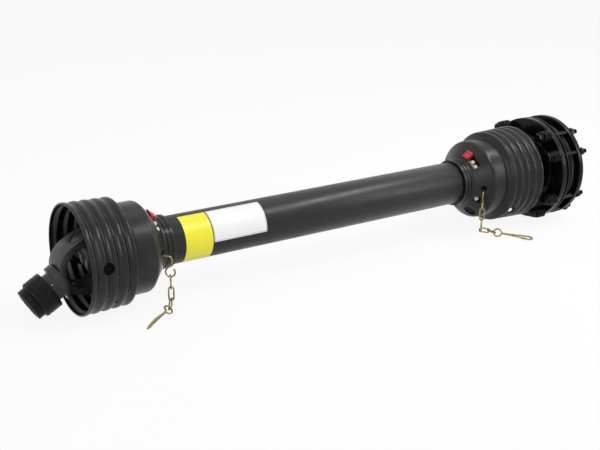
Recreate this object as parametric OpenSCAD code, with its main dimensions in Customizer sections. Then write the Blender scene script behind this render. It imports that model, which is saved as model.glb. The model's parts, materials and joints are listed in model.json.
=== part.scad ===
// PTO drive shaft: two universal joints, telescoping drive tubes in a plastic guard,
// a quick-release yoke at the tractor end and a friction clutch at the implement end.
// +X runs along the shaft towards the implement, +Z is up. The origin is on the axis
// at the mouth of the clutch hub. Angles round the shaft start at +Y and turn to +Z.

/* [Shaft] */
// Distance between the two joint centres with the shaft pushed together
closed_length = 756.2; // [700:0.1:900]
// Distance from the mouth of the clutch hub to the rear joint's centre
hub_to_joint = 133.4; // [128:0.1:140]
// Angle by which the tractor yoke hangs below the shaft's axis
droop = 29.5; // [0:0.5:32]

/* [Guard] */
// Outer radius of the outer guard tube
guard_r = 35; // [34.6:0.1:38]
// Wall of both guard tubes
guard_wall = 2.5; // [2:0.1:3]
// Outer radius of a guard bell at its rim
rim_r = 78.6; // [76:0.1:82]
// Wall of a guard bell
bell_wall = 2.6; // [2:0.1:3.2]
// Distance from a bell's rim in to the joint's centre
rim_offset = 30.4; // [29:0.1:32]
// Distance between two ribs of a bell
rib_pitch = 15.1; // [14:0.1:15.6]
// Depth of the valley between two ribs
rib_depth = 3.4; // [2:0.1:4]
// Number of ribs on a bell
rib_count = 5; // [3:1:5]
// Angle of the lock tab round the bell
tab_deg = 106; // [100:1:110]

/* [Joints] */
// Half the distance between the outer faces of a yoke's two ears
ear_out = 37.5; // [37:0.1:39]
// Half the gap between a yoke's two ears
ear_in = 28; // [27.5:0.1:28.5]
// Radius of a yoke's ear round the bearing cap
ear_r = 20; // [19:0.1:21]
// Radius of a bearing cap
cap_r = 13.5; // [12.5:0.1:14]
// Radius of the cross's trunnions
trunnion_r = 8; // [7:0.1:9]

/* [Tractor end] */
// Radius of the neck that the release collar slides on
neck_r = 20; // [19.8:0.1:20.5]
// Radius of the release collar
collar_r = 27; // [26:0.1:28]
// How far the collar pulls back towards the fork
collar_travel = 7; // [4:0.5:8]
// Radius of the six-spline bore across the tops of its teeth
spline_minor_r = 14.9; // [14.5:0.05:15]
// Radius of the six-spline bore across the bottoms of its grooves
spline_major_r = 17.45; // [17:0.05:17.6]
// Width of one spline groove
spline_w = 8.7; // [8:0.1:9]

/* [Clutch] */
// Radius of the clutch's plates
plate_r = 88; // [86:0.5:90]
// Radius of the friction discs
disc_r = 75; // [70:0.5:76]
// Radius of the circle through the clutch bolts
bolt_circle_r = 83; // [83:0.5:83.5]
// Radius of a clutch bolt's shank
bolt_r = 4; // [3:0.5:4]
// Angle from the ears to the two bolts beside them
bolt_from_ear = 36; // [34:1:38]
// Angle from the side to the two bolts beside it
bolt_from_side = 27; // [25:1:29]
// Outer radius of a clutch spring
spring_r = 10; // [9:0.5:10]
// Radius of a clutch spring's wire
spring_wire_r = 1.3; // [1.2:0.1:1.7]
// Number of coils in a clutch spring
spring_coils = 5; // [4:1:5]

/* [Chains] */
// Radius of the chain wire
wire_r = 1.15; // [1:0.05:1.2]
// Length of a chain link between the middles of its two crowns
link_l = 20; // [19:0.1:20.5]
// Width of a chain link between the middles of its two sides
link_w = 7; // [6.5:0.1:7.5]
// Radius of a snap hook's wire
hook_wire_r = 1.25; // [1.1:0.05:1.3]
// Length of a snap hook from the middle of its eye to its round end
hook_l = 58; // [54:1:60]

/* [Detail] */
// Segments of the round parts
$fn = 64; // [48:8:96]

/* [Hidden] */

rear_x = -hub_to_joint;
front_x = rear_x - closed_length;

black = [0.16, 0.165, 0.17];
guard_grey = [0.27, 0.275, 0.285];
paint = [0.42, 0.425, 0.43];
steel = [0.62, 0.63, 0.65];
zinc = [0.72, 0.66, 0.45];
red = [0.83, 0.16, 0.2];
cream = [0.9, 0.88, 0.8];
yellow = [0.97, 0.92, 0.35];
white = [0.95, 0.95, 0.94];
lining = [0.35, 0.31, 0.26];
bronze = [0.7, 0.55, 0.3];
rubber = [0.09, 0.09, 0.09];

// Fits
run_gap = 0.05;
slide_gap = 0.3;
over = 1;

// Yokes, measured from the joint's centre along the shaft
fork_centre = 18;
fork_back = fork_centre + ear_out;
hub_start = 50;
hub_end = 105;
front_hub_r = 30;
rear_hub_r = 27;
groove_r = 27.5;
groove_start = 80;
groove_w = 7;
socket_start = 62;
pin_x = 96;
pin_r = 5;
pin_wall = 1.6;
pin_slot = 1.6;
groove_land = 3;

// Bearing caps, spring rings and cross, measured from the joint's centre
cap_in = 24.5;
cap_recess = 2;
trunnion_end = 34;
trunnion_room = 0.1;
circlip_in = 1.25;
circlip_t = 1.4;
circlip_lip = 0.8;
circlip_w = 3.2;
circlip_gap = 6;
circlip_eye_r = 0.7;
circlip_eye_in = 2;
circlip_eye_deg = 24;
clip_room = 0.1;
cross_ball_r = 15.5;
cross_arm_r = 11.5;
cross_arm_end = 22;
grease_bore_r = 2;
seal_t = 2.3;
nipple_r = 2.5;
nipple_hex_r = 4.2;
nipple_hex_t = 3;
nipple_in = 10;
nipple_seat = 13.5;
nipple_stem_r = 1.8;
nipple_stem_l = 5;
nipple_head_r = 2.6;
nipple_head_l = 2.4;

// Tractor yoke, measured from the joint's centre towards the tractor
collar_l = 70.2;
collar_t = 26.2;
collar_wall = 4.9;
collar_room = 3.2;
fork_base = collar_l - collar_travel - collar_room;
end_ring_l = collar_l + collar_t + 0.2;
end_ring_t = 9.5;
yoke_end = end_ring_l + end_ring_t + 0.6;
pocket_r = 24;
stop_l = collar_l + 4.3;
stop_t = 3;
stop_r = 22.5;
release_wire_r = 1;
release_coils = 3;
ball_x = collar_l + collar_t - 2.4;
ball_r = 4;
ball_centre_r = neck_r - ball_r - 0.2;
neck_ball_x = fork_base + 6.6;
neck_ball_r = 1.7;
neck_ball_deg = -147;
neck_ball_in = 1.5;
lock_ball_turn = 30;
fork_neck = 6;
spline_start = 30;
end_ring_r = 23.2;
pilot_r = 17.9;
pilot_l = 6;

// Drive tubes: a rounded three-lobed section, radius = base + lobe * cos(3 * angle)
lobe = 3.4;
outer_tube_base = 22.6;
outer_tube_wall = 3.4;
inner_tube_base = outer_tube_base - outer_tube_wall - slide_gap;
inner_tube_wall = 3.6;
lobe_step = 5;
outer_drive_end = -265;
inner_drive_end = front_x + 120;

// Guard, measured from the bell's rim
first_crest = 3;
rib_taper = 0.036;
rib_end = first_crest + (rib_count - 1) * rib_pitch + 1;
cone_x = 103.4;
cone_tilt = 41;
neck_x = 123;
neck_grooves = [127, 133.5];
bell_end = 141;
neck_outer_r = guard_r + 3.6;
shoulder_r = 65.5;
seat_u = rib_end + 3.2;
seat_l = 4;
bead_h = 1.6;
tube_seat = 121;
groove_u = rim_offset + groove_start;
bearing_r = 40;
lug_angles = [120, 132.5, 206, 300, 312.5, 26];
lug_deg = 7;
lug_h = 6.5;
lug_w = 5.4;
lug_end = 2;
lug_root = 2;
lug_top_r = bearing_r + lug_h;
guard_outer_end = rear_x + rim_offset - bell_end - 1.5;
guard_inner_r = guard_r - guard_wall - 0.5;
guard_inner_end = front_x - rim_offset + 175;
window_x = 116;
window_w = 8.8;
window_h = 22;
window_before = 3.5;
window_after = 2.5;
tab_room = 9;
tab_start = 8.2;
tab_sweep = 15;
chain_hole_u = 112.6;
chain_hole_r = 5;
chain_hole_at_r = 51.6;
access_u = 111.5;
access_at_r = 53.5;
access_r = 10.5;
access_deg = 249;
front_chain_deg = 177;
rear_chain_deg = 182;

// Holes through the ribs, each an angle, a distance from the rim and a radius
front_grease_hole = [175.5, 24, 8.5];
front_drain_hole = [225, 40, 3.5];
rear_grease_hole = [220, 49, 7.5];

// Colour fields on the guard tube, measured from the front bell's rim
yellow_from = 157.7;
yellow_to = 201.6;
white_to = 291;
field_t = 0.25;
field_gap = 1.4;
field_from_deg = 102;
yellow_to_deg = 235;
white_to_deg = 186;

// Chains: an S-hook's loops lie in the plane through the hole square to the cone
s_loop_r = 6.7;
s_upper = [6.5, -10.2];
s_lower = [10.1, -26.9];
crown_gap = 2 * wire_r + 0.15;
eye_r = 6.2;
hook_end_r = 8.3;
hook_neck = 1.4;
hook_gap = 0.15;

// Clutch faces along the shaft
flange_l = -68;
flange_r_face = -58;
drive_ring_l = -54;
drive_ring_t = 2.5;
ring_t = 4;
plate_t = 9;
nut_t = 1.625 * bolt_r;
hex_r = 1.875 * bolt_r;
washer_r = 2.125 * bolt_r;
ring_a_l = drive_ring_l + drive_ring_t;
fin_l = ring_a_l + ring_t;
plate_l = -27;
foot_h = 11;
foot_r = 60;
ring_b_l = plate_l - ring_t;
plate_r_face = plate_l + plate_t;
spring_l = flange_l - 20.5;
washer_t = 2;
head_t = 1.375 * bolt_r;
bolt_end = -1.5;
hub_boss_r = 30;
hub_nose_r = 27;
spigot_r = 21;
bush_t = 3;
bolt_room = 0.3;
fin_count = 3;
fin_depth = 10;
fin_slot = 2.2;
hub_rim_in = 1;
drive_ring_in = 33;
plate_bore_in = 4;
friction_ring_in = 13;
set_screw_up = 0.3;
set_screw_l_in = 1;
set_screw_key = 3;
set_screw_key_r = 2.5;
spigot_l = -76;

bolt_angles = [for (s = [-1, 1], m = [-1, 1]) each [90 * s + m * bolt_from_ear,
    (s > 0 ? 0 : 180) + m * bolt_from_side]];

// Small helpers

function unit(v) = v / norm(v);
function planar(p, ref) = unit(ref - (ref * p) * p);
function along(points, i, closed) =
    let (n = len(points))
    closed ? unit(points[(i + 1) % n] - points[(i + n - 1) % n])
           : unit(points[min(i + 1, n - 1)] - points[max(i - 1, 0)]);

// A round wire along a list of points, carried on without a twist from ref at its start
module wire(points, r, ref, closed = false, sides = 8) {
    n = len(points);
    frames = [for (i = 0, a = planar(along(points, 0, closed), ref); i < n;
        i = i + 1, a = i < n ? planar(along(points, i, closed), a) : a) a];
    rings = [for (i = [0:n - 1])
        let (t = along(points, i, closed), a = frames[i], b = cross(t, a))
        for (j = [0:sides - 1])
            points[i] + r * (cos(360 * j / sides) * a + sin(360 * j / sides) * b)];
    last = closed ? n - 1 : n - 2;
    sheet = [for (i = [0:last], j = [0:sides - 1])
        let (k = (i + 1) % n, m = (j + 1) % sides)
        [i * sides + j, k * sides + j, k * sides + m, i * sides + m]];
    caps = closed ? [] : [[for (j = [0:sides - 1]) j],
        [for (j = [sides - 1:-1:0]) (n - 1) * sides + j]];
    polyhedron(points = rings, faces = concat(sheet, caps), convexity = 6);
}

// A tube along X from x0 to x1
module ring(r_out, r_in, x0, x1) {
    translate([x0, 0, 0]) rotate([0, 90, 0]) difference() {
        cylinder(r = r_out, h = x1 - x0);
        if (r_in > 0) translate([0, 0, -over]) cylinder(r = r_in, h = x1 - x0 + 2 * over);
    }
}

module rod(r, x0, x1) {
    ring(r, 0, x0, x1);
}

// A hexagon along X
module hex(r, x0, x1) {
    translate([x0, 0, 0]) rotate([0, 90, 0]) cylinder(r = r, h = x1 - x0, $fn = 6);
}

// The frame of the front joint: +X points along the shaft to the tubes
module at_front() {
    translate([front_x, 0, 0]) children();
}

// The frame of the rear joint, mirrored: +X points along the shaft to the tubes
module at_rear() {
    translate([rear_x, 0, 0]) mirror([1, 0, 0]) children();
}

// The frame of the tractor yoke: +X points out of the yoke's bore to the tractor
module at_yoke() {
    at_front() rotate([0, 180 - droop, 0]) children();
}

// A bell's frame, with x = 0 at its rim
module in_bell() {
    translate([-rim_offset, 0, 0]) children();
}

// Universal joints

// The side view of a fork: two ears and the round back that joins them
module fork_outline() {
    difference() {
        union() {
            translate([fork_centre, 0]) circle(r = ear_out);
            translate([-ear_r, -ear_out]) square([ear_r + fork_centre, 2 * ear_out]);
        }
        translate([fork_centre, 0]) circle(r = ear_in);
        translate([-ear_r - over, -ear_in])
            square([ear_r + fork_centre + over, 2 * ear_in]);
    }
}

// A fork with its ears on +Y and -Y, round ears, drilled for the bearing caps
module fork() {
    difference() {
        intersection() {
            linear_extrude(2 * ear_r, center = true) fork_outline();
            union() {
                rotate([90, 0, 0]) cylinder(r = ear_r, h = 3 * ear_out, center = true);
                translate([0, -1.5 * ear_out, -ear_r])
                    cube([2 * fork_back, 3 * ear_out, 2 * ear_r]);
            }
        }
        rotate([90, 0, 0]) cylinder(r = cap_r, h = 3 * ear_out, center = true);
        for (s = [-1, 1]) translate([0, s * (ear_out - circlip_in), 0]) rotate([90, 0, 0])
            cylinder(r = cap_r + circlip_lip + clip_room, h = circlip_t + clip_room,
                center = true);
    }
}

// Two bearing caps on the Y axis, closed outside, with a bore for the trunnion
module caps() {
    for (s = [-1, 1]) mirror([0, s > 0 ? 0 : 1, 0]) rotate([-90, 0, 0]) difference() {
        translate([0, 0, cap_in]) cylinder(r = cap_r, h = ear_out - cap_recess - cap_in);
        translate([0, 0, cap_in - over]) cylinder(r = trunnion_r + run_gap,
            h = trunnion_end + trunnion_room - cap_in + over);
    }
}

// Two open spring rings that hold the caps in the ears
module circlips() {
    lip_r = cap_r + circlip_lip;
    for (s = [-1, 1]) translate([0, s * (ear_out - circlip_in), 0]) rotate([90, 0, 0])
        difference() {
            cylinder(r = lip_r, h = circlip_t, center = true);
            cylinder(r = lip_r - circlip_w, h = 2 * circlip_t, center = true);
            translate([0, -circlip_gap / 2, -circlip_t])
                cube([2 * cap_r, circlip_gap, 2 * circlip_t]);
            for (m = [-1, 1]) rotate([0, 0, m * circlip_eye_deg])
                translate([lip_r - circlip_eye_in, 0, 0])
                    cylinder(r = circlip_eye_r, h = 2 * circlip_t, center = true, $fn = 16);
        }
}

// The cross: a block with four ground trunnions on Y and Z and a grease bore
module cross_body() {
    difference() {
        union() {
            sphere(r = cross_ball_r);
            for (a = [0, 90]) rotate([a + 90, 0, 0]) {
                cylinder(r = cross_arm_r, h = 2 * cross_arm_end, center = true);
                cylinder(r = trunnion_r, h = 2 * trunnion_end, center = true);
            }
        }
        for (a = [0, 90]) rotate([a + 90, 0, 0])
            cylinder(r = grease_bore_r, h = 2 * ear_out, center = true, $fn = 24);
        rotate([45, 0, 0]) rotate([-90, 0, 0]) {
            translate([0, 0, nipple_in - 2]) cylinder(r = nipple_r, h = 10, $fn = 24);
            translate([0, 0, nipple_seat]) cylinder(r = nipple_hex_r + 0.6, h = 12, $fn = 32);
        }
    }
}

// Four rubber seals between the cross and its caps
module cross_seals() {
    for (a = [0, 90, 180, 270]) rotate([a, 0, 0]) rotate([-90, 0, 0])
        translate([0, 0, cross_arm_end]) difference() {
            cylinder(r = cap_r - 1, h = seal_t);
            translate([0, 0, -over]) cylinder(r = trunnion_r, h = seal_t + 2 * over);
        }
}

// The grease nipple, screwed in between two arms of the cross
module nipple() {
    rotate([45, 0, 0]) rotate([-90, 0, 0]) {
        translate([0, 0, nipple_in])
            cylinder(r = nipple_r - run_gap, h = nipple_seat - nipple_in + 2 * run_gap, $fn = 24);
        translate([0, 0, nipple_seat + run_gap]) {
            cylinder(r = nipple_hex_r, h = nipple_hex_t, $fn = 6);
            cylinder(r = nipple_stem_r, h = nipple_stem_l, $fn = 24);
            translate([0, 0, nipple_stem_l])
                cylinder(r1 = nipple_head_r, r2 = nipple_stem_r, h = nipple_head_l, $fn = 24);
        }
    }
}

// Drive tubes

// The three-lobed section of a drive tube
module lobed(base) {
    polygon([for (a = [0:lobe_step:359])
        let (r = base + lobe * cos(3 * a)) [r * cos(a), r * sin(a)]]);
}

// A three-lobed tube along X from x0 to x1
module lobed_tube(base, wall, x0, x1) {
    translate([x0, 0, 0]) rotate([90, 0, 90]) linear_extrude(x1 - x0) difference() {
        lobed(base);
        lobed(base - wall);
    }
}

// A fork on a round hub, with the guard's bearing groove and a lobed socket for the tube
module tube_yoke(hub_r, tube_base) {
    difference() {
        union() {
            fork();
            rod(front_hub_r, hub_start, groove_start + groove_w + groove_land);
            rod(hub_r, groove_start, hub_end);
        }
        ring(front_hub_r + over, groove_r, groove_start, groove_start + groove_w);
        translate([socket_start, 0, 0]) rotate([90, 0, 90]) linear_extrude(hub_end)
            lobed(tube_base);
        translate([pin_x, 0, 0]) cylinder(r = pin_r, h = 4 * hub_r, center = true);
    }
}

// A slotted spring pin across the hub and the tube
module tube_pin(hub_r) {
    translate([pin_x, 0, 0]) difference() {
        cylinder(r = pin_r, h = 2 * hub_r - 1, center = true);
        cylinder(r = pin_r - pin_wall, h = 2 * hub_r, center = true);
        translate([0, -pin_slot / 2, -hub_r]) cube([2 * pin_r, pin_slot, 2 * hub_r]);
    }
}

// A drive tube with the hole for its yoke's pin
module tube_with_pin_hole(base, wall, x0, x1, hole_x) {
    difference() {
        lobed_tube(base, wall, x0, x1);
        translate([hole_x, 0, 0]) cylinder(r = pin_r, h = 4 * base, center = true);
    }
}

// Tractor end

// The six-spline bore, as the solid to be cut away
module splines(x0, x1) {
    rod(spline_minor_r, x0, x1);
    intersection() {
        rod(spline_major_r, x0, x1);
        for (a = [0:60:120]) rotate([a, 0, 0]) translate([x0, -spline_w / 2, -neck_r])
            cube([x1 - x0, spline_w, 2 * neck_r]);
    }
}

// The tractor yoke: fork, neck, spring stop, splined bore, holes for the lock balls and a
// dimple for the small ball that fills its grease hole
module yoke_body() {
    difference() {
        union() {
            rotate([90, 0, 0]) fork();
            rod(neck_r + fork_neck, hub_start, fork_base);
            rod(neck_r, hub_start, yoke_end);
            rod(stop_r, stop_l, stop_l + stop_t);
        }
        splines(spline_start, yoke_end + over);
        rod(pilot_r, yoke_end - pilot_l, yoke_end + over);
        for (a = [0:90:270]) rotate([a + lock_ball_turn, 0, 0]) translate([ball_x, 0, 0])
            cylinder(r = ball_r + 0.1, h = 2 * neck_r);
        rotate([neck_ball_deg - 90, 0, 0]) translate([neck_ball_x, 0, neck_r - neck_ball_in])
            cylinder(r = neck_ball_r + 0.6, h = 12, $fn = 24);
    }
}

// The sliding collar, with a pocket over the spring and a wall that holds the balls in
module collar_body() {
    difference() {
        rod(collar_r, collar_l, collar_l + collar_t);
        rod(pocket_r, collar_l - over, collar_l + collar_t - collar_wall);
        rod(neck_r + run_gap, collar_l, collar_l + collar_t + over);
    }
}

// A helical spring along X from x0 to x1
module coil_spring(mean_r, r, x0, x1, coils, steps = 14, sides = 6) {
    n = ceil(coils * steps);
    wire([for (i = [0:n]) let (a = 360 * coils * i / n)
        [x0 + r + (x1 - x0 - 2 * r) * i / n, mean_r * cos(a), mean_r * sin(a)]],
        r, [1, 0, 0], sides = sides);
}

// Guard

// Turns a half-section drawn as (radius, x) about the X axis, from one angle onwards
module lathe(from = 0, sweep = 360) {
    rotate([0, 90, 0]) rotate([0, 0, 90 + from]) rotate_extrude(angle = sweep) children();
}

// Outer radius of the ribbed part of a bell, at u from its rim
function rib_r(u) = rim_r - rib_taper * u
    - rib_depth * pow((1 - cos(360 * (u - first_crest) / rib_pitch)) / 2, 1.6);

// Half-section of the ribbed skirt, from its rim to the flange that grips the bell
module skirt_section() {
    ribs = [for (i = [0:8 * rib_count]) if (i * rib_pitch / 8 < rib_end) i * rib_pitch / 8];
    end_r = rib_r(rib_end);
    grip_r = shoulder_r + run_gap;
    outside = [for (u = ribs) [rib_r(u), u],
        [end_r, rib_end], [end_r - 2.6, rib_end + 2.4], [end_r - 6.4, rib_end + 4.4],
        [grip_r + 1.5, rib_end + 6.2], [grip_r + 0.8, seat_u + seat_l],
        [grip_r, seat_u + seat_l]];
    inside = [[grip_r, seat_u], [grip_r + bead_h + 0.2, seat_u], [end_r - 5, rib_end + 1.2],
        [end_r - bell_wall - 0.3, rib_end - 1],
        for (i = [len(ribs) - 2:-1:0]) [rib_r(ribs[i]) - bell_wall, ribs[i]]];
    polygon(concat(outside, inside));
}

// Half-section of a bell: a bead inside the skirt's flange, shoulder, cone and ringed neck
module bell_section(bore_r) {
    back = shoulder_r - bell_wall;
    front = seat_u - 2.2;
    outside = [[shoulder_r + bead_h, front], [shoulder_r + bead_h, seat_u - run_gap],
        [shoulder_r, seat_u - run_gap],
        [shoulder_r, cone_x - 5.4], [shoulder_r - 0.9, cone_x - 2.4], [shoulder_r - 3.2, cone_x],
        [neck_outer_r + 3, neck_x - 1.6], [neck_outer_r + 0.9, neck_x + 0.2],
        [neck_outer_r, neck_x + 2],
        for (g = neck_grooves) each [[neck_outer_r, g], [neck_outer_r - 1, g + 0.5],
            [neck_outer_r - 1, g + 2], [neck_outer_r, g + 2.5]],
        [neck_outer_r, bell_end]];
    inside = [[bore_r, bell_end], [bore_r, tube_seat - 1],
        [neck_outer_r + 1.2, tube_seat - 1.5], [shoulder_r - 4.9, cone_x - 1.8],
        [shoulder_r - 3.2, cone_x - 3.6], [back, cone_x - 6], [back, front]];
    polygon(concat(outside, inside));
}

// A window through the cone, from angle a0 to a1
module window(a0, a1) {
    lathe(a0, a1 - a0) translate([guard_r + 0.5, window_x - window_w / 2])
        square([window_h, window_w]);
}

// A round hole through the cone, square to its face
module cone_hole(a, u, at_r, r) {
    rotate([a, 0, 0]) translate([u, at_r, 0]) rotate([0, 90, cone_tilt])
        cylinder(r = r, h = 16, center = true, $fn = 32);
}

// A bell of the guard, with its skirt's rim at x = 0
module bell(chain_deg, bore_r) {
    difference() {
        lathe() bell_section(bore_r);
        for (a = [[0, 1], [180, 4]])
            window(tab_deg - tab_room + a[0], lug_angles[a[1]] + lug_deg);
        for (a = [lug_angles[2], lug_angles[5]])
            window(a - window_before, a + lug_deg + window_after);
        for (a = [0, 180]) cone_hole(chain_deg + a, chain_hole_u, chain_hole_at_r, chain_hole_r);
        cone_hole(access_deg, access_u, access_at_r, access_r);
    }
}

// A round hole through the ribs, given as its angle, distance from the rim and radius
module rib_hole(hole) {
    rotate([hole[0], 0, 0]) translate([hole[1], rim_r, 0]) rotate([90, 0, 0])
        cylinder(r = hole[2], h = 20, center = true, $fn = 32);
}

// The nylon ring that runs in the yoke's groove, with lugs out through the bell's windows
module bearing_ring() {
    translate([-rim_offset, 0, 0]) {
        ring(bearing_r, groove_r + run_gap, groove_u + 0.2, groove_u + groove_w - 0.2);
        for (a = lug_angles) lathe(a, lug_deg)
            translate([bearing_r - lug_root, window_x + lug_end - lug_w])
                square([lug_top_r - bearing_r + lug_root, lug_w]);
    }
}

// A stepped lock tab in its window
module lock_tab() {
    translate([-rim_offset, 0, 0]) lathe(tab_deg - tab_start, tab_sweep) polygon([
        [bearing_r + 3, window_x - 4], [bearing_r + 14.4, window_x - 4],
        [bearing_r + 15.2, window_x - 3.2], [bearing_r + 14.2, window_x - 0.9],
        [bearing_r + 11.4, window_x - 0.4], [bearing_r + 11.6, window_x + 0.8],
        [bearing_r + 7.8, window_x + 6.6], [bearing_r + 6.4, window_x + 7.6],
        [bearing_r + 5.6, window_x + 7.2], [bearing_r + 6.2, window_x + 4],
        [bearing_r + 3, window_x + 4]]);
}

// A thin colour field on the outer guard tube
module field(u0, u1, a0, a1) {
    translate([front_x - rim_offset, 0, 0]) lathe(a0, a1 - a0)
        translate([guard_r + run_gap, u0]) square([field_t, u1 - u0]);
}

// Chains

// The outline of a chain link, centred, with its length along X and its width along Y
function link_path(l, w, steps = 8) = [for (s = [1, -1], i = [0:steps])
    let (a = (s > 0 ? -90 : 90) + 180 * i / steps)
    [s * (l - w) / 2 + w / 2 * cos(a), w / 2 * sin(a), 0]];

// The frame at o with X along x and Y nearest to side
module framed(o, x, side) {
    u = unit(x);
    v = planar(u, side);
    w = cross(u, v);
    multmatrix([[u[0], v[0], w[0], o[0]], [u[1], v[1], w[1], o[1]], [u[2], v[2], w[2], o[2]],
        [0, 0, 0, 1]]) children();
}

// The crown of an S-hook, where the first link hangs: the guard faces +X or, with s = -1, -X
function s_crown(rim_x, s, deg) = [
    rim_x + s * (chain_hole_u + s_lower[0] * cos(cone_tilt)),
    chain_hole_at_r * cos(deg) - s_lower[0] * sin(cone_tilt),
    chain_hole_at_r * sin(deg) + s_lower[1] - s_loop_r];

// Where link i of a chain starts: each link is seated in the crown of the one before it
function link_start(chain, i) =
    (i == 0 ? chain[0] : link_start(chain, i - 1) + link_l * unit(chain[1][i - 1]))
    + crown_gap * chain[3][i];

// Each chain is its crown, the ways its links and hook run, their sides, and their seats
front_chain = [s_crown(front_x - rim_offset, 1, front_chain_deg),
    [[0, 0, -1], [0, 0, -1], [-0.515, -0.751, -0.41], [-0.795, -0.607, -0.012]],
    [[0.45, 0.89, 0], [0.963, -0.27, 0], [0.31, -0.61, 0.73], [-0.5, 0.64, 0.58]],
    [[0, 0, 1], [0, 0, 1], [0.298, 0.759, 0.767], [0.69, 0.82, 0.4]]];
rear_chain = [s_crown(rear_x + rim_offset, -1, rear_chain_deg),
    [[-0.12, -0.125, -0.985], [-0.12, -0.125, -0.985], [0.944, -0.19, -0.27],
     [0.92, 0.193, -0.34], [0.683, -0.7215, -0.1055]],
    [[0.656, -0.755, 0], [0.755, 0.656, 0], [0.2, -0.33, 0.92], [-0.13, 0.97, 0.2],
     [0.1, -0.05, 0.99]],
    [[0.118, 0.127, 0.984], [0.118, 0.127, 0.984], [-0.837, 0.445, 0.743],
     [-1.012, -0.053, 0.306], [-0.949, -0.188, 0.345]]];

// Link i of a chain
module chain_link(chain, i) {
    framed(link_start(chain, i), chain[1][i], chain[2][i]) translate([link_l / 2, 0, 0])
        wire(link_path(link_l, link_w), wire_r, [0, 0, 1], closed = true);
}

// The route of an S-hook in its own plane: X out of the guard's face, Y up, hole at the origin
function s_path() = [for (p = [[-8, -4.6], [-4, -3.6], [0, -3.4]]) p,
    for (a = [100:-20:-40]) s_upper + s_loop_r * [cos(a), sin(a)],
    for (a = [140:18:410]) s_lower + s_loop_r * [cos(a), sin(a)]];

// An S-hook through the chain hole at deg round a bell whose rim is at x = 0
module s_hook(deg) {
    translate([chain_hole_u, chain_hole_at_r * cos(deg), chain_hole_at_r * sin(deg)])
        framed([0, 0, 0], [cos(cone_tilt), -sin(cone_tilt), 0], [0, 0, 1])
            wire([for (p = s_path()) [p[0], p[1], 0]], wire_r, [0, 0, 1]);
}

// A snap hook bent from one wire: X from the eye to the round end, the body in the XY plane
// and the eye square to it in the XZ plane
module snap_hook() {
    end_x = hook_l - hook_end_r;
    neck = hook_neck;
    wire(concat(
        [[end_x - 10, -hook_end_r, 0]],
        [for (a = [-90:20:90]) [end_x + hook_end_r * cos(a), hook_end_r * sin(a), 0]],
        [[end_x - 6, hook_end_r - 0.6, 0], [eye_r + 6, neck + 0.4, 0], [eye_r + 2.4, neck, 0.1],
         [eye_r + 0.7, neck, 0.8]],
        [for (t = [22:24:338]) [eye_r * cos(t), neck * (1 - (t - 22) / 158), eye_r * sin(t)]],
        [[eye_r + 0.7, -neck, -0.8], [eye_r + 2.4, -neck, -0.1], [eye_r + 6, -neck - 0.4, 0],
         [end_x - 1, -hook_end_r + 3, 0]]),
        hook_wire_r, [0.15, 0.6, 0.79]);
}

// Places a snap hook so that its eye hangs in the last crown of a chain
module hook_at(chain) {
    last = len(chain[1]) - 1;
    way = unit(chain[1][last]);
    framed(link_start(chain, last - 1) + link_l * unit(chain[1][last - 1])
        + (wire_r + hook_wire_r + hook_gap) * chain[3][last] + eye_r * way, way,
        cross(chain[2][last], way)) snap_hook();
}

// Clutch

// Repeats a thing at every clutch bolt, with the bolt along X and Y pointing outwards
module at_bolts() {
    for (a = bolt_angles) rotate([a, 0, 0]) translate([0, bolt_circle_r, 0]) children();
}

// A round clutch plate with holes for the bolts
module drilled_plate(r_in, x0, x1) {
    difference() {
        ring(plate_r, r_in, x0, x1);
        at_bolts() rod(bolt_r + bolt_room, x0 - over, x1 + over);
    }
}

// The flange yoke: fork, neck and flange, with a seat for the hub's bush
module flange_yoke() {
    difference() {
        union() {
            translate([rear_x, 0, 0]) rotate([90, 0, 0]) fork();
            rod(front_hub_r, rear_x + hub_start, flange_l + over);
            lathe() polygon([[0, flange_l - foot_h], [foot_r - 20, flange_l - foot_h],
                [foot_r - 13, flange_l - foot_h + 3], [foot_r, flange_l - 1],
                [foot_r, flange_l + 1], [0, flange_l + 1]]);
            rod(plate_r, flange_l, flange_r_face);
        }
        rod(spigot_r + bush_t, spigot_l, 0);
        at_bolts() rod(bolt_r + bolt_room, flange_l - over, 0);
    }
}

// The hub: splined bore, finned flange between the friction rings, nose for the set screw
module hub_body() {
    fin_pitch = (ring_b_l - fin_l) / (fin_count + 1);
    fin_r = disc_r - hub_rim_in;
    difference() {
        union() {
            rod(spigot_r - run_gap, spigot_l + 0.5, flange_r_face);
            rod(hub_boss_r, flange_r_face, plate_r_face);
            rod(hub_nose_r, plate_r_face, 0);
            difference() {
                rod(fin_r, fin_l, ring_b_l);
                for (i = [1:fin_count]) ring(plate_r, fin_r - fin_depth,
                    fin_l + i * fin_pitch - fin_slot / 2, fin_l + i * fin_pitch + fin_slot / 2);
            }
        }
        splines(spigot_l - over, over);
        translate([plate_r_face / 2, 0, 0]) cylinder(r = pin_r, h = 40);
    }
}

// The pieces

module quick_release_yoke() { color(paint) at_yoke() yoke_body(); }
module release_collar() { color(black) at_yoke() collar_body(); }
module release_spring() {
    color(steel) at_yoke() coil_spring((neck_r + pocket_r) / 2, release_wire_r,
        stop_l + stop_t, collar_l + collar_t - collar_wall, release_coils);
}
module lock_balls() {
    color(steel) at_yoke() for (a = [0:90:270]) rotate([a + lock_ball_turn, 0, 0])
        translate([ball_x, 0, ball_centre_r]) sphere(r = ball_r);
    color(steel) at_yoke() rotate([neck_ball_deg - 90, 0, 0])
        translate([neck_ball_x, 0, neck_r - neck_ball_in + neck_ball_r])
            sphere(r = neck_ball_r, $fn = 24);
}
module collar_end_ring() {
    color(black) at_yoke() ring(end_ring_r, neck_r, end_ring_l, end_ring_l + end_ring_t);
}
module front_cross() { color(steel) at_front() rotate([0, -droop, 0]) cross_body(); }
module front_cross_seals() { color(rubber) at_front() rotate([0, -droop, 0]) cross_seals(); }
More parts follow.
